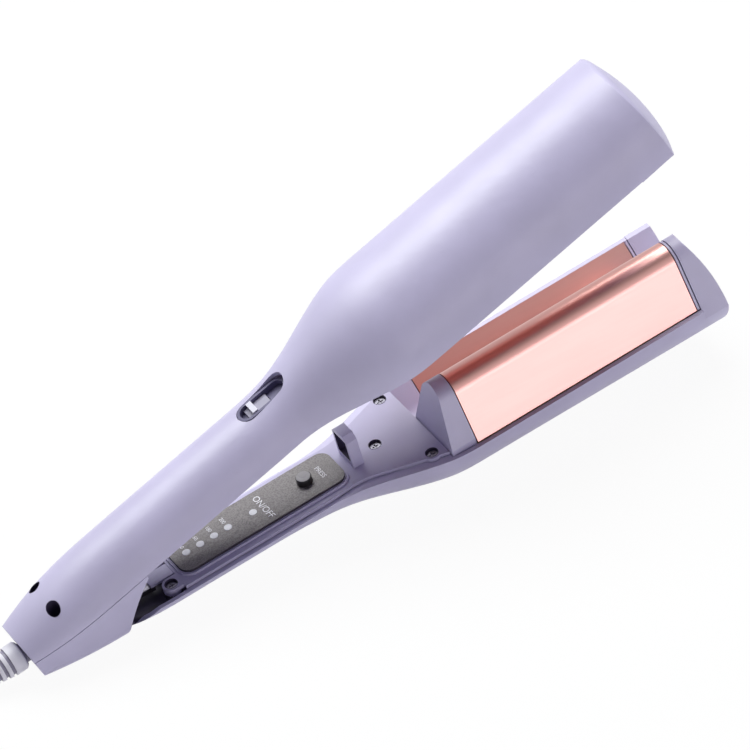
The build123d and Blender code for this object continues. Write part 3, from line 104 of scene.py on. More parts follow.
# %% Helpers for groups and materials
def new_group(name, inputs):
    group = bpy.data.node_groups.new(name, "ShaderNodeTree")
    for label, value in inputs:
        socket = group.interface.new_socket(name=label, in_out="INPUT", socket_type="NodeSocketFloat")
        socket.default_value = value
    group.interface.new_socket(name="Mask", in_out="OUTPUT", socket_type="NodeSocketFloat")
    return group, group.nodes.new("NodeGroupInput"), group.nodes.new("NodeGroupOutput")


def noise_on_object(tree, detail, stretch=None):
    """A noise texture that reads the piece's own coordinates, stretched along one axis if asked."""
    place = tree.nodes.new("ShaderNodeTexCoord")
    noise = tree.nodes.new("ShaderNodeTexNoise")
    noise.inputs["Detail"].default_value = detail
    source = place.outputs["Object"]
    if stretch:
        mapping = tree.nodes.new("ShaderNodeMapping")
        mapping.inputs["Scale"].default_value = stretch
        tree.links.new(source, mapping.inputs["Vector"])
        source = mapping.outputs["Vector"]
    tree.links.new(source, noise.inputs["Vector"])
    return noise


def map_range(tree, source, low, high, to_low=0.0, to_high=1.0):
    node = tree.nodes.new("ShaderNodeMapRange")
    for socket, value in zip(("From Min", "From Max", "To Min", "To Max"), (low, high, to_low, to_high)):
        node.inputs[socket].default_value = value
    tree.links.new(source, node.inputs["Value"])
    return node.outputs["Result"]


# %% Grain of a mould, and patches left by hands
def make_noise_group(name, scale, detail, low, high, stretch=None):
    group, inlet, outlet = new_group(name, [("Scale", scale)])
    noise = noise_on_object(group, detail, stretch)
    group.links.new(inlet.outputs["Scale"], noise.inputs["Scale"])
    group.links.new(map_range(group, noise.outputs["Fac"], low, high), outlet.inputs["Mask"])
    return group


MOULD_GRAIN = make_noise_group("mould grain", 2200.0, 2.0, 0.3, 0.7)
HAND_PATCHES = make_noise_group("hand patches", 38.0, 3.0, 0.35, 0.65)
BRUSHED_LINES = make_noise_group("brushed lines", 900.0, 3.0, 0.3, 0.7, stretch=(0.03, 1.0, 1.0))
METAL_SPECKLE = make_noise_group("metal speckle", 1500.0, 1.0, 0.42, 0.62)
print("node groups:", [group.name for group in bpy.data.node_groups])

# %% [markdown]
# ## Finishes
#
# Every finish starts from one recipe: two close tones mixed by a mask, a roughness that moves a little
# with another mask, and a bump of at most two hundredths of a millimetre. What differs is named in the
# call, so the list of finishes reads like a maker's sheet.


# %% The recipe
# A Mix node has sockets of the same names for numbers and for colours, so its colour sockets go by place.
COLOUR_A, COLOUR_B, COLOUR_OUT = 6, 7, 2


def place_group(tree, group, scale=None):
    node = tree.nodes.new("ShaderNodeGroup")
    node.node_tree = group
    if scale:
        node.inputs["Scale"].default_value = scale
    return node.outputs["Mask"]


def finish_of(name, tone, second_tone, tone_mask, rough, rough_mask, bump_mask, bump_depth,
              metallic=0.0, **shader):
    """Two tones and a roughness range, each moved by a mask, and a fine bump in millimetres."""
    material = bpy.data.materials.new(name)
    material.use_nodes = True
    tree = material.node_tree
    principled = tree.nodes["Principled BSDF"]
    mix = tree.nodes.new("ShaderNodeMix")
    mix.data_type = "RGBA"
    mix.inputs[COLOUR_A].default_value = (*tone, 1)
    mix.inputs[COLOUR_B].default_value = (*second_tone, 1)
    tree.links.new(place_group(tree, *tone_mask), mix.inputs[0])
    tree.links.new(mix.outputs[COLOUR_OUT], principled.inputs["Base Color"])
    roughness = map_range(tree, place_group(tree, *rough_mask), 0, 1, *rough)
    tree.links.new(roughness, principled.inputs["Roughness"])
    bump = tree.nodes.new("ShaderNodeBump")
    bump.inputs["Strength"].default_value = 0.5
    bump.inputs["Distance"].default_value = bump_depth * MM
    tree.links.new(place_group(tree, *bump_mask), bump.inputs["Height"])
    tree.links.new(bump.outputs["Normal"], principled.inputs["Normal"])
    principled.inputs["Metallic"].default_value = metallic
    for socket, value in shader.items():
        principled.inputs[socket.replace("_", " ")].default_value = value
    return material


def shade(colour, factor):
    return tuple(channel * factor for channel in colour)


# %% The finishes of this object
materials_before = len(bpy.data.materials)
LAVENDER = (0.53, 0.49, 0.70)
NEAR_WHITE = (0.80, 0.78, 0.86)
ROSE_GOLD = (0.72, 0.39, 0.36)
PANEL_GREY = (0.165, 0.15, 0.158)
DARK_PLUM = (0.035, 0.026, 0.065)

lavender_plastic = finish_of(
    "lavender plastic", LAVENDER, shade(LAVENDER, 0.93), (HAND_PATCHES,), (0.44, 0.50),
    (HAND_PATCHES, 60.0), (MOULD_GRAIN,), 0.012, Specular_IOR_Level=1.0)
# A darker copy of the lavender: painted shade for the deck and inner cover, which lie under the upper arm.
lavender_painted_shade = finish_of(
    "lavender with painted shade", shade(LAVENDER, 0.88), shade(LAVENDER, 0.80), (HAND_PATCHES,), (0.42, 0.52),
    (HAND_PATCHES, 60.0), (MOULD_GRAIN,), 0.02)
boot_plastic = finish_of(
    "near-white boot", NEAR_WHITE, shade(NEAR_WHITE, 0.94), (HAND_PATCHES,), (0.38, 0.48),
    (MOULD_GRAIN, 900.0), (MOULD_GRAIN,), 0.015)
cord_rubber = finish_of(
    "cord sheath", NEAR_WHITE, shade(NEAR_WHITE, 0.93), (HAND_PATCHES, 25.0), (0.42, 0.52), (HAND_PATCHES,),
    (MOULD_GRAIN, 1500.0), 0.02)
rose_gold = finish_of(
    "rose-gold plate", ROSE_GOLD, shade(ROSE_GOLD, 0.98), (BRUSHED_LINES,), (0.32, 0.35), (BRUSHED_LINES,),
    (BRUSHED_LINES,), 0.001, metallic=0.92)
panel_metal = finish_of(
    "speckled panel", PANEL_GREY, shade(PANEL_GREY, 0.62), (METAL_SPECKLE,), (0.35, 0.5),
    (METAL_SPECKLE, 900.0), (METAL_SPECKLE,), 0.01, metallic=0.35)
# Dark plum is the own colour of the cord socket, switch and tie, and painted shade on the sleeves and linings
# put in shaded hollows.
dark_plastic_and_painted_shade = finish_of(
    "dark plastic and painted shade", DARK_PLUM, shade(DARK_PLUM, 0.8), (HAND_PATCHES,), (0.45, 0.55), (HAND_PATCHES,),
    (MOULD_GRAIN,), 0.02)
white_light = finish_of(
    "white light", (0.92, 0.91, 0.95), (0.86, 0.85, 0.90), (HAND_PATCHES, 200.0), (0.18, 0.26),
    (HAND_PATCHES,), (MOULD_GRAIN,), 0.004)
bright_steel = finish_of(
    "bright steel", (0.60, 0.59, 0.62), (0.50, 0.49, 0.52), (BRUSHED_LINES,), (0.24, 0.34), (BRUSHED_LINES,),
    (BRUSHED_LINES,), 0.005, metallic=1.0)
dark_steel = finish_of(
    "blackened screws", (0.24, 0.23, 0.27), (0.15, 0.14, 0.18), (BRUSHED_LINES,), (0.3, 0.4),
    (BRUSHED_LINES,), (BRUSHED_LINES,), 0.005, metallic=1.0)
heater_metal = finish_of(
    "heater body", (0.72, 0.72, 0.73), (0.6, 0.6, 0.62), (BRUSHED_LINES,), (0.35, 0.45), (BRUSHED_LINES,),
    (BRUSHED_LINES,), 0.005, metallic=1.0)
mica = finish_of(
    "mica sheet", (0.62, 0.56, 0.42), (0.50, 0.44, 0.32), (METAL_SPECKLE, 400.0), (0.4, 0.6), (HAND_PATCHES,),
    (METAL_SPECKLE, 600.0), 0.02)
board_lacquer = finish_of(
    "board lacquer", (0.02, 0.11, 0.045), (0.015, 0.085, 0.035), (METAL_SPECKLE, 700.0), (0.2, 0.3),
    (HAND_PATCHES,), (MOULD_GRAIN,), 0.004)
nickel = finish_of(
    "nickel pins", (0.72, 0.70, 0.66), (0.64, 0.62, 0.58), (BRUSHED_LINES,), (0.18, 0.26), (BRUSHED_LINES,),
    (BRUSHED_LINES,), 0.003, metallic=1.0)
print("finishes made:", len(bpy.data.materials) - materials_before)

# %% [markdown]
# ## Pieces with two tones and painted shade
#
# Four mouldings show two tones each. The power button is black on its side and grey on its printed top.
# The other three carry painted shade: the panel's cut edge is painted darker than its face, the plate of the
# slide lock is painted darker than its pale knob, and the grooves of the boot are painted in a darker shade.
# The tones could be separate objects, but each piece is one moulding, so its material picks the tone by
# place: the height over a level, or the distance from an axis. Both come from the piece's own coordinates
# with a little vector arithmetic.


# %% Tone by height, and painted shade by distance from an axis
def vector_step(tree, operation, source, value):
    node = tree.nodes.new("ShaderNodeVectorMath")
    node.operation = operation
    tree.links.new(source, node.inputs[0])
    node.inputs[1].default_value = value
    return node.outputs["Value" if operation == "DOT_PRODUCT" else "Vector"]


def vector_length(tree, source):
    node = tree.nodes.new("ShaderNodeVectorMath")
    node.operation = "LENGTH"
    tree.links.new(source, node.inputs[0])
    return node.outputs["Value"]


def math_step(tree, operation, source, value):
    """A Math node on one source; the second term is a number or another socket."""
    node = tree.nodes.new("ShaderNodeMath")
    node.operation = operation
    tree.links.new(source, node.inputs[0])
    if isinstance(value, float):
        node.inputs[1].default_value = value
    else:
        tree.links.new(value, node.inputs[1])
    return node.outputs["Value"]


def mix_tone_where(tree, source, limit, tone):
    """Where the source is over the limit, the base colour is the new tone."""
    principled = tree.nodes["Principled BSDF"]
    under = principled.inputs["Base Color"].links[0].from_socket
    mix = tree.nodes.new("ShaderNodeMix")
    mix.data_type = "RGBA"
    mix.inputs[COLOUR_B].default_value = (*tone, 1)
    tree.links.new(math_step(tree, "GREATER_THAN", source, limit), mix.inputs[0])
    tree.links.new(under, mix.inputs[COLOUR_A])
    tree.links.new(mix.outputs[COLOUR_OUT], principled.inputs["Base Color"])


def add_height_tone(material, frame_matrix, height, tone, side=1):
    """Everything on one side of a level takes the tone: above it, or below it where the side is -1."""
    up = frame_matrix.to_3x3().col[2]
    level = frame_matrix.translation.dot(up) + height
    tree = material.node_tree
    place = tree.nodes.new("ShaderNodeTexCoord").outputs["Object"]
    mix_tone_where(tree, vector_step(tree, "DOT_PRODUCT", place, up * side), level * side, tone)


def add_groove_tone(material, start, radius, taper, tone):
    """What lies deeper in the boot than a radius takes a painted shade; past the start the radius shrinks."""
    tree = material.node_tree
    place = vector_step(tree, "SUBTRACT", tree.nodes.new("ShaderNodeTexCoord").outputs["Object"], boot_place)
    along = math_step(tree, "SUBTRACT", vector_step(tree, "DOT_PRODUCT", place, boot_axis), start)
    lost = math_step(tree, "MULTIPLY", math_step(tree, "MAXIMUM", along, 0.0), taper)
    away = vector_length(tree, vector_step(tree, "CROSS_PRODUCT", place, boot_axis))
    depth = math_step(tree, "MULTIPLY", math_step(tree, "ADD", away, lost), -1.0)
    mix_tone_where(tree, depth, -radius, tone)


# %% Button, panel edge, lock and boot
button_plastic = finish_of(
    "button plastic", (0.012, 0.011, 0.014), (0.02, 0.018, 0.022), (HAND_PATCHES, 300.0), (0.22, 0.32),
    (HAND_PATCHES,), (MOULD_GRAIN,), 0.008)
# The slider's plate is painted a mid lavender as shade in the slot; its knob keeps a pale tone.
slider_painted_shade = finish_of(
    "slider with painted shade", (0.34, 0.32, 0.43), (0.30, 0.28, 0.39), (HAND_PATCHES, 90.0), (0.40, 0.50),
    (HAND_PATCHES,), (MOULD_GRAIN,), 0.012)
# The guide's dark purple-grey is painted shade: the walls of the slot lie in shadow.
lock_guide_painted_shade = finish_of(
    "guide with painted shade", (0.13, 0.115, 0.22), (0.11, 0.10, 0.19), (HAND_PATCHES, 90.0), (0.45, 0.55),
    (HAND_PATCHES,), (MOULD_GRAIN,), 0.015)
PRINT_GREY = (0.30, 0.28, 0.30)
PANEL_EDGE_SHADE = (0.03, 0.024, 0.04)
KNOB_PALE = (0.66, 0.64, 0.76)
GROOVE_SHADE = (0.26, 0.24, 0.33)
BUTTON_PRINT = 6.9 * MM
PANEL_TOP = 4.0 * MM
FACE_DEPTH = 0.1 * MM
KNOB_LEVEL = 16.4 * MM
GROOVES_START, GROOVE_RADIUS, BOOT_TAPER = 7.35 * MM, 5.9 * MM, 0.153

add_height_tone(button_plastic, LOWER_ARM, BUTTON_PRINT, PRINT_GREY)
# The panel's side below its face is painted near-black: the shade along the panel's border.
add_height_tone(panel_metal, LOWER_ARM, PANEL_TOP - FACE_DEPTH, PANEL_EDGE_SHADE, side=-1)
# The knob above this level is pale; the plate below it carries painted shade.
add_height_tone(slider_painted_shade, UPPER_RIM, KNOB_LEVEL, KNOB_PALE)
# The boot's grooves are painted darker: the shade that lies in them.
add_groove_tone(boot_plastic, GROOVES_START, GROOVE_RADIUS, BOOT_TAPER, GROOVE_SHADE)
print("finishes made by now:", len(bpy.data.materials) - materials_before)

# %% [markdown]
# ## Dressing the nodes
#
# A finish is made once and worn by many pieces, as a factory uses one plastic for a whole casing. Both
# arms are one lavender, the covers inside them carry a painted shade in a darker copy of it, and the plates,
# heaters, screws and the hinge's pin are metal. A table of finishes and names keeps this in one place.

# %% Dress the CAD nodes
FINISHES = {
    lavender_plastic: ("upper_shell", "rear_belly_cover", "lower_shell", "latch_hook",
                       "lower_rear_support", "upper_rear_support", "lower_plate_trim", "upper_plate_trim"),
    # The deck and inner cover wear the painted shade of the lavender.
    lavender_painted_shade: ("lower_deck", "upper_inner_cover"),
    boot_plastic: ("cord_boot",),
    cord_rubber: ("plug_body",),
    slider_painted_shade: ("lock_slider",),
    lock_guide_painted_shade: ("lock_guide",),
    rose_gold: ("lower_heat_plate", "upper_heat_plate"),
    panel_metal: ("control_panel",),
    dark_plastic_and_painted_shade: ("cord_socket", "tact_switch", "cord_tie"),
    white_light: ("power_led", "temperature_leds", "thermal_fuse"),
    button_plastic: ("power_button",),
    dark_steel: ("hinge_knuckle", "deck_screws", "housing_screws"),
    bright_steel: ("lower_heater_clamp", "upper_heater_clamp", "hinge_pin", "torsion_spring"),
    heater_metal: ("lower_heater", "upper_heater"),
    mica: ("lower_insulator", "upper_insulator"),
    board_lacquer: ("circuit_board",),
    nickel: ("plug_pins",),
}
for material, names in FINISHES.items():
    for name in names:
        nodes[name].data.materials.clear()
        nodes[name].data.materials.append(material)
print("dressed:", sum(len(names) for names in FINISHES.values()), "nodes in", len(FINISHES), "finishes")

# %% [markdown]
# ## Printed words
#
# The panel is printed in white: a number beside each of the four small lights and plain words by the power
# light and the button. A print could be an image, but a text object turned into a very thin mesh
# stays sharp at any distance and needs no picture. The words run across the arm, so each is turned a
# quarter turn on the deck before it is put in its place.


# %% A piece put in its place
def settle(piece, place, material, body):
    """Moves the mesh to its place, and says what carries it and how it is finished."""
    piece.data.transform(place)
    piece.data.materials.clear()
    piece.data.materials.append(material)
    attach(piece, body)


# %% Words on the panel
INK_THICKNESS = 0.03 * MM
LIGHT_PITCH = 6.75 * MM
FIRST_LIGHT = 66.0 * MM
POWER_LIGHT = 98.4 * MM
ACROSS_THE_ARM = math.radians(-90)
HEAT_MARKS = (140, 160, 180, 200)
MARK_SIZE, MARK_ACROSS = 2.5 * MM, 4.9 * MM
SWITCH_SIZE, SWITCH_ALONG, SWITCH_ACROSS = 4.2 * MM, POWER_LIGHT + 4.8 * MM, -0.4 * MM
PRESS_SIZE, PRESS_ALONG = 2.9 * MM, 131.2 * MM


def printed_word(name, words, along, across, size):
    bpy.ops.object.select_all(action="DESELECT")
    bpy.ops.object.text_add()
    word = bpy.context.object
    word.name = name
    word.data.body = words
    word.data.size = size
    word.data.align_x = "CENTER"
    word.data.align_y = "CENTER"
    word.data.extrude = INK_THICKNESS
    bpy.ops.object.convert(target="MESH")
    place = Matrix.Translation((along, across, PANEL_TOP)) @ Matrix.Rotation(ACROSS_THE_ARM, 4, "Z")
    settle(word, LOWER_ARM @ place, white_light, "lower_arm")


for index, degrees in enumerate(HEAT_MARKS):
    along = FIRST_LIGHT + index * LIGHT_PITCH
    printed_word(f"heat_mark_{degrees}", str(degrees), along, MARK_ACROSS, MARK_SIZE)
printed_word("switch_word", "ON/OFF", SWITCH_ALONG, SWITCH_ACROSS, SWITCH_SIZE)
printed_word("press_word", "PRESS", PRESS_ALONG, 0.0, PRESS_SIZE)
print("printed words:", len(HEAT_MARKS) + 2)

# %% [markdown]
# ## Painted shade: sleeves in the screw holes
#
# Each screw sits at the bottom of a hole, and on the real object the hole looks almost black with a fine
# bright rim, because the hole lies in shade. The sleeves paint that shade: each is a thin dark piece put
# where the casing is only shaded. A dark paint inside the hole could do it, but the casing is one moulding
# with one finish. A sleeve with a small turned lip gives both the dark hole and the rim. It starts as an
# open cylinder that is too long. A bisect cuts it off along the casing's surface, which slants at the tail;
# the cut loop is extruded and widened for the lip, and a Solidify modifier gives the wall its thickness.


# %% A wall for an open piece
def give_thickness(piece, thickness, offset=-1.0):
    wall = piece.modifiers.new("wall", "SOLIDIFY")
    wall.thickness = thickness * MM
    wall.offset = offset
    bpy.ops.object.modifier_apply(modifier="wall")


# %% One sleeve
LIP_WIDTH = 0.15
LIP_HEIGHT = 0.05
SLEEVE_WALL = 0.1
SMOOTH_UNDER = math.radians(40)


def screw_sleeve(name, frame_matrix, body, along, across, radius, low, high, slant=(0.0, 0.0)):
    """Sizes in millimetres; the slant is the rise of the casing's surface along and across the arm."""
    bpy.ops.object.select_all(action="DESELECT")
    bpy.ops.mesh.primitive_cylinder_add(
        vertices=40, radius=radius * MM, depth=2 * (high - low) * MM, end_fill_type="NOTHING")
    sleeve = bpy.context.object
    sleeve.name = name
    bpy.ops.object.mode_set(mode="EDIT")
    bpy.ops.mesh.select_all(action="SELECT")
    bpy.ops.transform.translate(value=(0, 0, high * MM))
    bpy.ops.mesh.bisect(plane_co=(0, 0, high * MM), plane_no=(-slant[0], -slant[1], 1), clear_outer=True)
    bpy.ops.mesh.extrude_region_move(TRANSFORM_OT_translate={"value": (0, 0, LIP_HEIGHT * MM)})
    wider = (radius + LIP_WIDTH) / radius
    bpy.ops.transform.resize(value=(wider, wider, 1))
    bpy.ops.object.mode_set(mode="OBJECT")
    give_thickness(sleeve, SLEEVE_WALL)
    bpy.ops.object.shade_smooth_by_angle(angle=SMOOTH_UNDER)
    place = Matrix.Translation(Vector((along, across, 0)) * MM)
    settle(sleeve, frame_matrix @ place, dark_plastic_and_painted_shade, body)


# %% Sleeves of the deck and of the rear housing
DECK_SCREWS = ((172.4, 21.02), (172.4, -21.02), (157.3, 0.0), (53.0, 8.64), (53.0, -8.64))
DECK_SLEEVE = {"radius": 2.7, "low": -0.9, "high": 1.55}
HOUSING_SCREW_X, HOUSING_SCREW_Y = 8.9, 8.0
HOUSING_SLEEVE = {"radius": 2.95, "low": 3.6, "high": 12.2}
RISE_ALONG, RISE_ACROSS = 0.197, 0.569

# Each sleeve is painted shade: a dark tube in a hole where the casing is only shaded.
for number, (along, across) in enumerate(DECK_SCREWS, 1):
    screw_sleeve(f"deck_shade_sleeve_{number}", LOWER_ARM, "lower_arm", along, across, **DECK_SLEEVE)
for number, side in enumerate((-1, 1), 1):
    screw_sleeve(f"housing_shade_sleeve_{number}", UPPER_RIM, "upper_arm", HOUSING_SCREW_X, side * HOUSING_SCREW_Y,
                 slant=(RISE_ALONG, -side * RISE_ACROSS), **HOUSING_SLEEVE)
print("screw sleeves:", len(DECK_SCREWS) + 2)

# %% [markdown]
# ## Linings of painted shade
#
# Two hollows read much darker than the casing, because they lie in shade: the window of the hook, and the
# tray behind the deck. Dark linings paint that shade. The window gets a thin frame. The tray gets a lining of
# its own that starts as a flat grid, is laid down on the casing by a Shrinkwrap modifier, and is then given
# its thickness.

# %% Frame in the hook's window
WINDOW_SIZE = (4.9, 9.5, 10.9)
WINDOW_CENTRE = Vector((146.0, 0.0, 10.1))
FRAME_WALL = 0.2

# The frame is painted shade: dark walls in the window, which on the real hook is only shaded.
bpy.ops.object.select_all(action="DESELECT")
bpy.ops.mesh.primitive_cube_add(size=1.0)
window_shade_frame = bpy.context.object
window_shade_frame.name = "window_shade_frame"
bpy.ops.object.mode_set(mode="EDIT")
bpy.ops.mesh.select_mode(type="FACE")
bpy.ops.transform.resize(value=tuple(size * MM for size in WINDOW_SIZE))
bpy.ops.mesh.select_all(action="DESELECT")
bpy.ops.object.mode_set(mode="OBJECT")
for face in window_shade_frame.data.polygons:
    face.select = abs(face.normal.x) > 0.9
bpy.ops.object.mode_set(mode="EDIT")
bpy.ops.mesh.delete(type="ONLY_FACE")
bpy.ops.object.mode_set(mode="OBJECT")
give_thickness(window_shade_frame, FRAME_WALL)
settle(window_shade_frame, LOWER_ARM @ Matrix.Translation(WINDOW_CENTRE * MM), dark_plastic_and_painted_shade, "lower_arm")
print("window frame faces:", len(window_shade_frame.data.polygons))

# %% Lining of the tray
TRAY_SIZE = (34.0, 25.0)
TRAY_CENTRE = Vector((40.0, 0.0, 2.0))
LINING_GAP = 0.12
LINING_WALL = 0.1

# The lining is painted shade: a dark sheet in the tray, which on the real object lies only in deep shadow.
bpy.ops.object.select_all(action="DESELECT")
bpy.ops.mesh.primitive_grid_add(x_subdivisions=36, y_subdivisions=28, size=1.0)
tray_shade_lining = bpy.context.object
tray_shade_lining.name = "tray_shade_lining"
bpy.ops.object.mode_set(mode="EDIT")
bpy.ops.mesh.select_all(action="SELECT")
bpy.ops.transform.resize(value=(TRAY_SIZE[0] * MM, TRAY_SIZE[1] * MM, 1))
bpy.ops.object.mode_set(mode="OBJECT")
tray_shade_lining.data.transform(LOWER_ARM @ Matrix.Translation(TRAY_CENTRE * MM))
laid = tray_shade_lining.modifiers.new("laid", "SHRINKWRAP")
laid.target = nodes["lower_shell"]
laid.wrap_method = "PROJECT"
laid.use_project_x = laid.use_project_y = False
laid.use_project_z = True
laid.use_negative_direction = True
laid.use_positive_direction = False
laid.offset = LINING_GAP * MM
bpy.ops.object.modifier_apply(modifier="laid")
give_thickness(tray_shade_lining, LINING_WALL, offset=1.0)
bpy.ops.object.shade_smooth_by_angle(angle=SMOOTH_UNDER)
settle(tray_shade_lining, Matrix.Identity(4), dark_plastic_and_painted_shade, "lower_arm")
print("tray lining from", round(min(vertex.co.z for vertex in tray_shade_lining.data.vertices) / MM, 2), "mm up")

# %% [markdown]
# ## The cord
#
# A mains cord is a fixed length of something that bends but doesn't stretch. It leaves the ribbed boot,
# comes down to the table and runs into a neat coil held by a tie, with the plug lying on top. A
# curve is the natural way to make it: its points are listed one by one, and the coil's turns come from a loop
# that steps from slot to slot, three turns side by side and three layers high.


# %% The route in millimetres
CORD_DIAMETER = 5.5
CORD_EXIT = (-219.67, 0.0, 6.66)
ROUTE = [
    CORD_EXIT,
    (-232.5, 0.0, 3.4),
    (-247.0, -6.0, 2.85),
    (-264.0, -18.0, 3.45),
]
COIL_CENTRE = (-280.0, 20.0)
COIL_RADIUS = 32.5
COIL_FLOOR = 0.7
POINTS_A_TURN = 16
QUARTER = POINTS_A_TURN // 4
# The ring and the layer of each turn, in the order in which the cord fills them.
SLOTS = [(1, 0), (0, 0), (-1, 0), (-1, 1), (0, 1), (1, 1), (1, 2), (0, 2)]
LEAD_RADIUS = 24.0
LEAD_CENTRE = (COIL_CENTRE[0] - COIL_RADIUS + LEAD_RADIUS, COIL_CENTRE[1])
LEAD_LOW, LEAD_HIGH = 14.45, 24.4
print("turns:", len(SLOTS), "points on the way to the coil:", len(ROUTE))


# %% Points of the coil
def corner_radius(radius, half_step):
    """The curve touches the sides between its points, so the points stand a little outside the circle."""
    return radius / math.cos(half_step)


def on_circle(centre, radius, angle, level):
    return (centre[0] + radius * math.cos(angle), centre[1] + radius * math.sin(angle), level)


def turn_angle(step):
    """Clockwise from the near side, half a step in."""
    return math.radians(270) - 2 * math.pi * (step + 0.5) / POINTS_A_TURN


def coil_points():
    """One turn in each slot; the last quarter of each turn moves to the next slot."""
    points = []
    for turn, (ring, layer) in enumerate(SLOTS):
        following = SLOTS[min(turn + 1, len(SLOTS) - 1)]
        for step in range(POINTS_A_TURN):
            moved = max(0.0, (step - 3 * QUARTER) / QUARTER)
            radius = COIL_RADIUS + CORD_DIAMETER * (ring + (following[0] - ring) * moved)
            level = COIL_FLOOR + CORD_DIAMETER * (0.5 + layer + (following[1] - layer) * moved)
            corner = corner_radius(radius, math.pi / POINTS_A_TURN)
            points.append(on_circle(COIL_CENTRE, corner, turn_angle(step), level))
    return points


def lead_points():
    """A last quarter of the top turn, then a quarter turn in three steps up to the plug."""
    corner = corner_radius(COIL_RADIUS, math.pi / POINTS_A_TURN)
    points = [on_circle(COIL_CENTRE, corner, turn_angle(step), LEAD_LOW) for step in range(QUARTER)]
    corner = corner_radius(LEAD_RADIUS, math.radians(15))
    for degrees, risen in ((165, 0.0), (135, 0.5), (105, 1.0)):
        level = LEAD_LOW + (LEAD_HIGH - LEAD_LOW) * risen
        points.append(on_circle(LEAD_CENTRE, corner, math.radians(degrees), level))
    return points + [on_circle(LEAD_CENTRE, LEAD_RADIUS, math.radians(90), LEAD_HIGH)]


# %% The cord as one smooth curve
def cord_curve(name, points, diameter):
    curve = bpy.data.curves.new(name, "CURVE")
    curve.dimensions = "3D"
    curve.bevel_depth = diameter / 2 * MM
    curve.bevel_resolution = 5
    curve.resolution_u = 6
    curve.use_fill_caps = True
    spline = curve.splines.new("NURBS")
    spline.points.add(len(points) - 1)
    for point, place in zip(spline.points, points):
        point.co = (*(value * MM for value in place), 1)
    spline.order_u = 3
    spline.use_endpoint_u = True
    cord = bpy.data.objects.new(name, curve)
    bpy.context.scene.collection.objects.link(cord)
    return cord


mains_lead = cord_curve("mains_lead", ROUTE + coil_points() + lead_points(), CORD_DIAMETER)
mains_lead.data.materials.append(cord_rubber)
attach(mains_lead, "upper_arm")
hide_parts("mains_cord", "cord_coil", "plug_lead")
print("cord points:", len(mains_lead.data.splines[0].points))

# %% [markdown]
# ## Stage and light
#
# The object lies on a plain white floor in a white room. To light both to pure white would need far too
# much light, so they show their white straight to the camera, and the lamps light the object at a plain
# level. Glossy pieces see a white room with a darker ceiling, which gives the plates their dark band. One
# large soft lamp stands high behind the left side and makes the long pale band on the upper arm. A weak
# one in front lights the flank of the plate and opens the shadows of the lower arm.


# %% Helpers that tell kinds of rays apart
def any_ray(tree, *kinds):
    """1 for a ray of any of the kinds, and 0 for all others."""
    rays = tree.nodes.new("ShaderNodeLightPath")
    found = rays.outputs[kinds[0]]
    for kind in kinds[1:]:
        found = math_step(tree, "MAXIMUM", found, rays.outputs[kind])
    return found


def blend_shaders(tree, share, first, second):
    mix = tree.nodes.new("ShaderNodeMixShader")
    for source, target in zip((share, first, second), mix.inputs):
        tree.links.new(source, target)
    return mix.outputs[0]


# %% World
AMBIENT = 0.14
AMBIENT_TINT = (0.82, 0.84, 1.0, 1)
CEILING = 0.3
CEILING_STARTS, CEILING_FULL = 0.70, 0.86
WHITE = (1, 1, 1, 1)

world = bpy.data.worlds.new("studio")
bpy.context.scene.world = world
world.use_nodes = True
sky = world.node_tree
soft_fill = sky.nodes["Background"]
soft_fill.inputs["Color"].default_value = AMBIENT_TINT
soft_fill.inputs["Strength"].default_value = AMBIENT

direction = sky.nodes.new("ShaderNodeTexCoord").outputs["Generated"]
axes = sky.nodes.new("ShaderNodeSeparateXYZ")
sky.links.new(direction, axes.inputs["Vector"])
room = sky.nodes.new("ShaderNodeBackground")
level = map_range(sky, axes.outputs["Z"], CEILING_STARTS, CEILING_FULL, 1.0, CEILING)
sky.links.new(level, room.inputs["Strength"])
plain_white = sky.nodes.new("ShaderNodeBackground")
plain_white.inputs["Color"].default_value = WHITE

lit = blend_shaders(sky, any_ray(sky, "Is Glossy Ray"), soft_fill.outputs[0], room.outputs[0])
seen = any_ray(sky, "Is Camera Ray", "Is Transmission Ray")
both = blend_shaders(sky, seen, lit, plain_white.outputs[0])
sky.links.new(both, sky.nodes["World Output"].inputs["Surface"])
print("world shaders:", sum(node.type == "BACKGROUND" for node in sky.nodes))

# %% Floor
FLOOR_SIZE = 8.0
FLOOR_DROP = 0.2 * MM
FLOOR_TONE = (0.86, 0.86, 0.88, 1)
WHITE_SHARE = 0.94

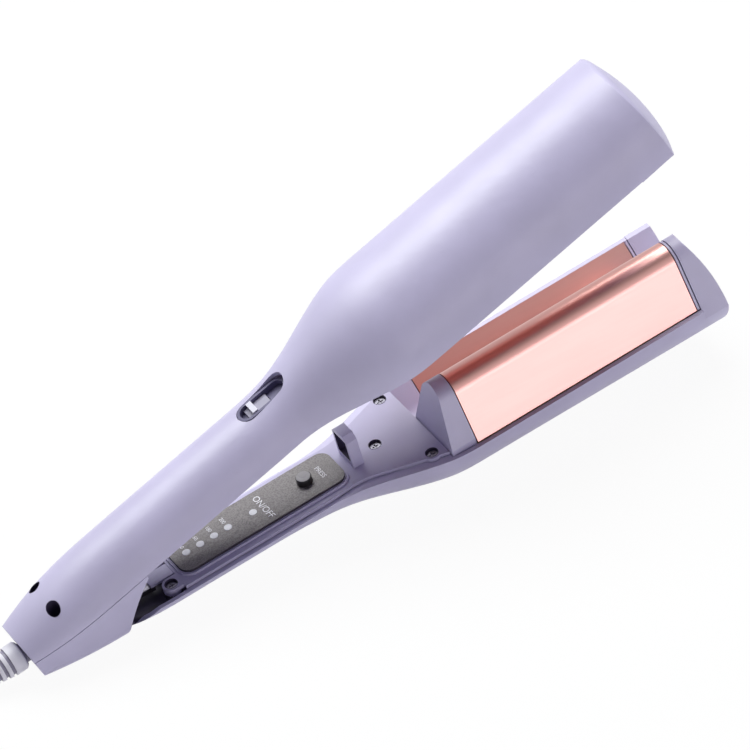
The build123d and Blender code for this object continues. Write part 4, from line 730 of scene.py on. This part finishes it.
bpy.ops.mesh.primitive_plane_add(size=FLOOR_SIZE, location=(0, 0, -FLOOR_DROP))
floor = bpy.context.object
floor.name = "floor"
floor_paint = bpy.data.materials.new("white floor")
floor_paint.use_nodes = True
paint = floor_paint.node_tree
matt = paint.nodes["Principled BSDF"]
matt.inputs["Base Color"].default_value = FLOOR_TONE
matt.inputs["Roughness"].default_value = 0.9
glow = paint.nodes.new("ShaderNodeEmission")
glow.inputs["Color"].default_value = WHITE
glow.inputs["Strength"].default_value = 1.0
shown = any_ray(paint, "Is Camera Ray", "Is Glossy Ray", "Is Transmission Ray")
white_share = math_step(paint, "MULTIPLY", shown, WHITE_SHARE)
both = blend_shaders(paint, white_share, matt.outputs[0], glow.outputs[0])
paint.links.new(both, paint.nodes["Material Output"].inputs["Surface"])
floor.data.materials.append(floor_paint)
print("floor size:", FLOOR_SIZE, "m")


# %% Lamps
def soft_lamp(name, place, target, width, height, watts, colour):
    lamp = bpy.data.lights.new(name, "AREA")
    lamp.shape = "RECTANGLE"
    lamp.size, lamp.size_y = width, height
    lamp.energy = watts
    lamp.color = colour
    holder = bpy.data.objects.new(name, lamp)
    holder.location = place
    holder.rotation_euler = (Vector(target) - Vector(place)).to_track_quat("-Z", "Y").to_euler()
    bpy.context.scene.collection.objects.link(holder)
    print(name, watts, "W")


soft_lamp("back left lamp", place=(0.15, 0.67, 1.52), target=(0.02, 0, 0.07), width=1.8, height=1.1,
          watts=41.0, colour=(0.97, 1.0, 0.965))
soft_lamp("front panel", place=(0.37, -1.45, 0.24), target=(0.0, 0, 0.06), width=1.0, height=0.45,
          watts=4.2, colour=(1.0, 0.95, 1.0))

# %% [markdown]
# ## The camera
#
# A product portrait is taken from far away with a long lens, so that near and far ends keep their true
# proportions. The camera could be turned by three angles, but two directions say more: where it looks,
# and which way is right in the picture. The third is at right angles to both. It stands back from the
# point that it aims at along the direction in which it looks.

# %% Camera
CAMERA_DISTANCE = 3.0
LENS = 348.8
LOOK = Vector((0.29479, 0.69583, -0.65492))
RIGHT = Vector((0.84734, -0.50717, -0.15744))
AIM = Vector((-0.00568, 0.03124, 0.02708))

camera_data = bpy.data.cameras.new("camera")
camera_data.lens = LENS
camera_data.sensor_width = 36.0
camera_data.clip_end = 20.0
camera = bpy.data.objects.new("camera", camera_data)
camera_axes = Matrix((RIGHT, RIGHT.cross(LOOK), -LOOK)).transposed()
camera.matrix_world = Matrix.Translation(AIM - LOOK * CAMERA_DISTANCE) @ camera_axes.to_4x4()
bpy.context.scene.collection.objects.link(camera)
bpy.context.scene.camera = camera
bpy.context.scene.view_settings.view_transform = "Standard"
print("camera stands at", [round(value, 3) for value in camera.matrix_world.translation])
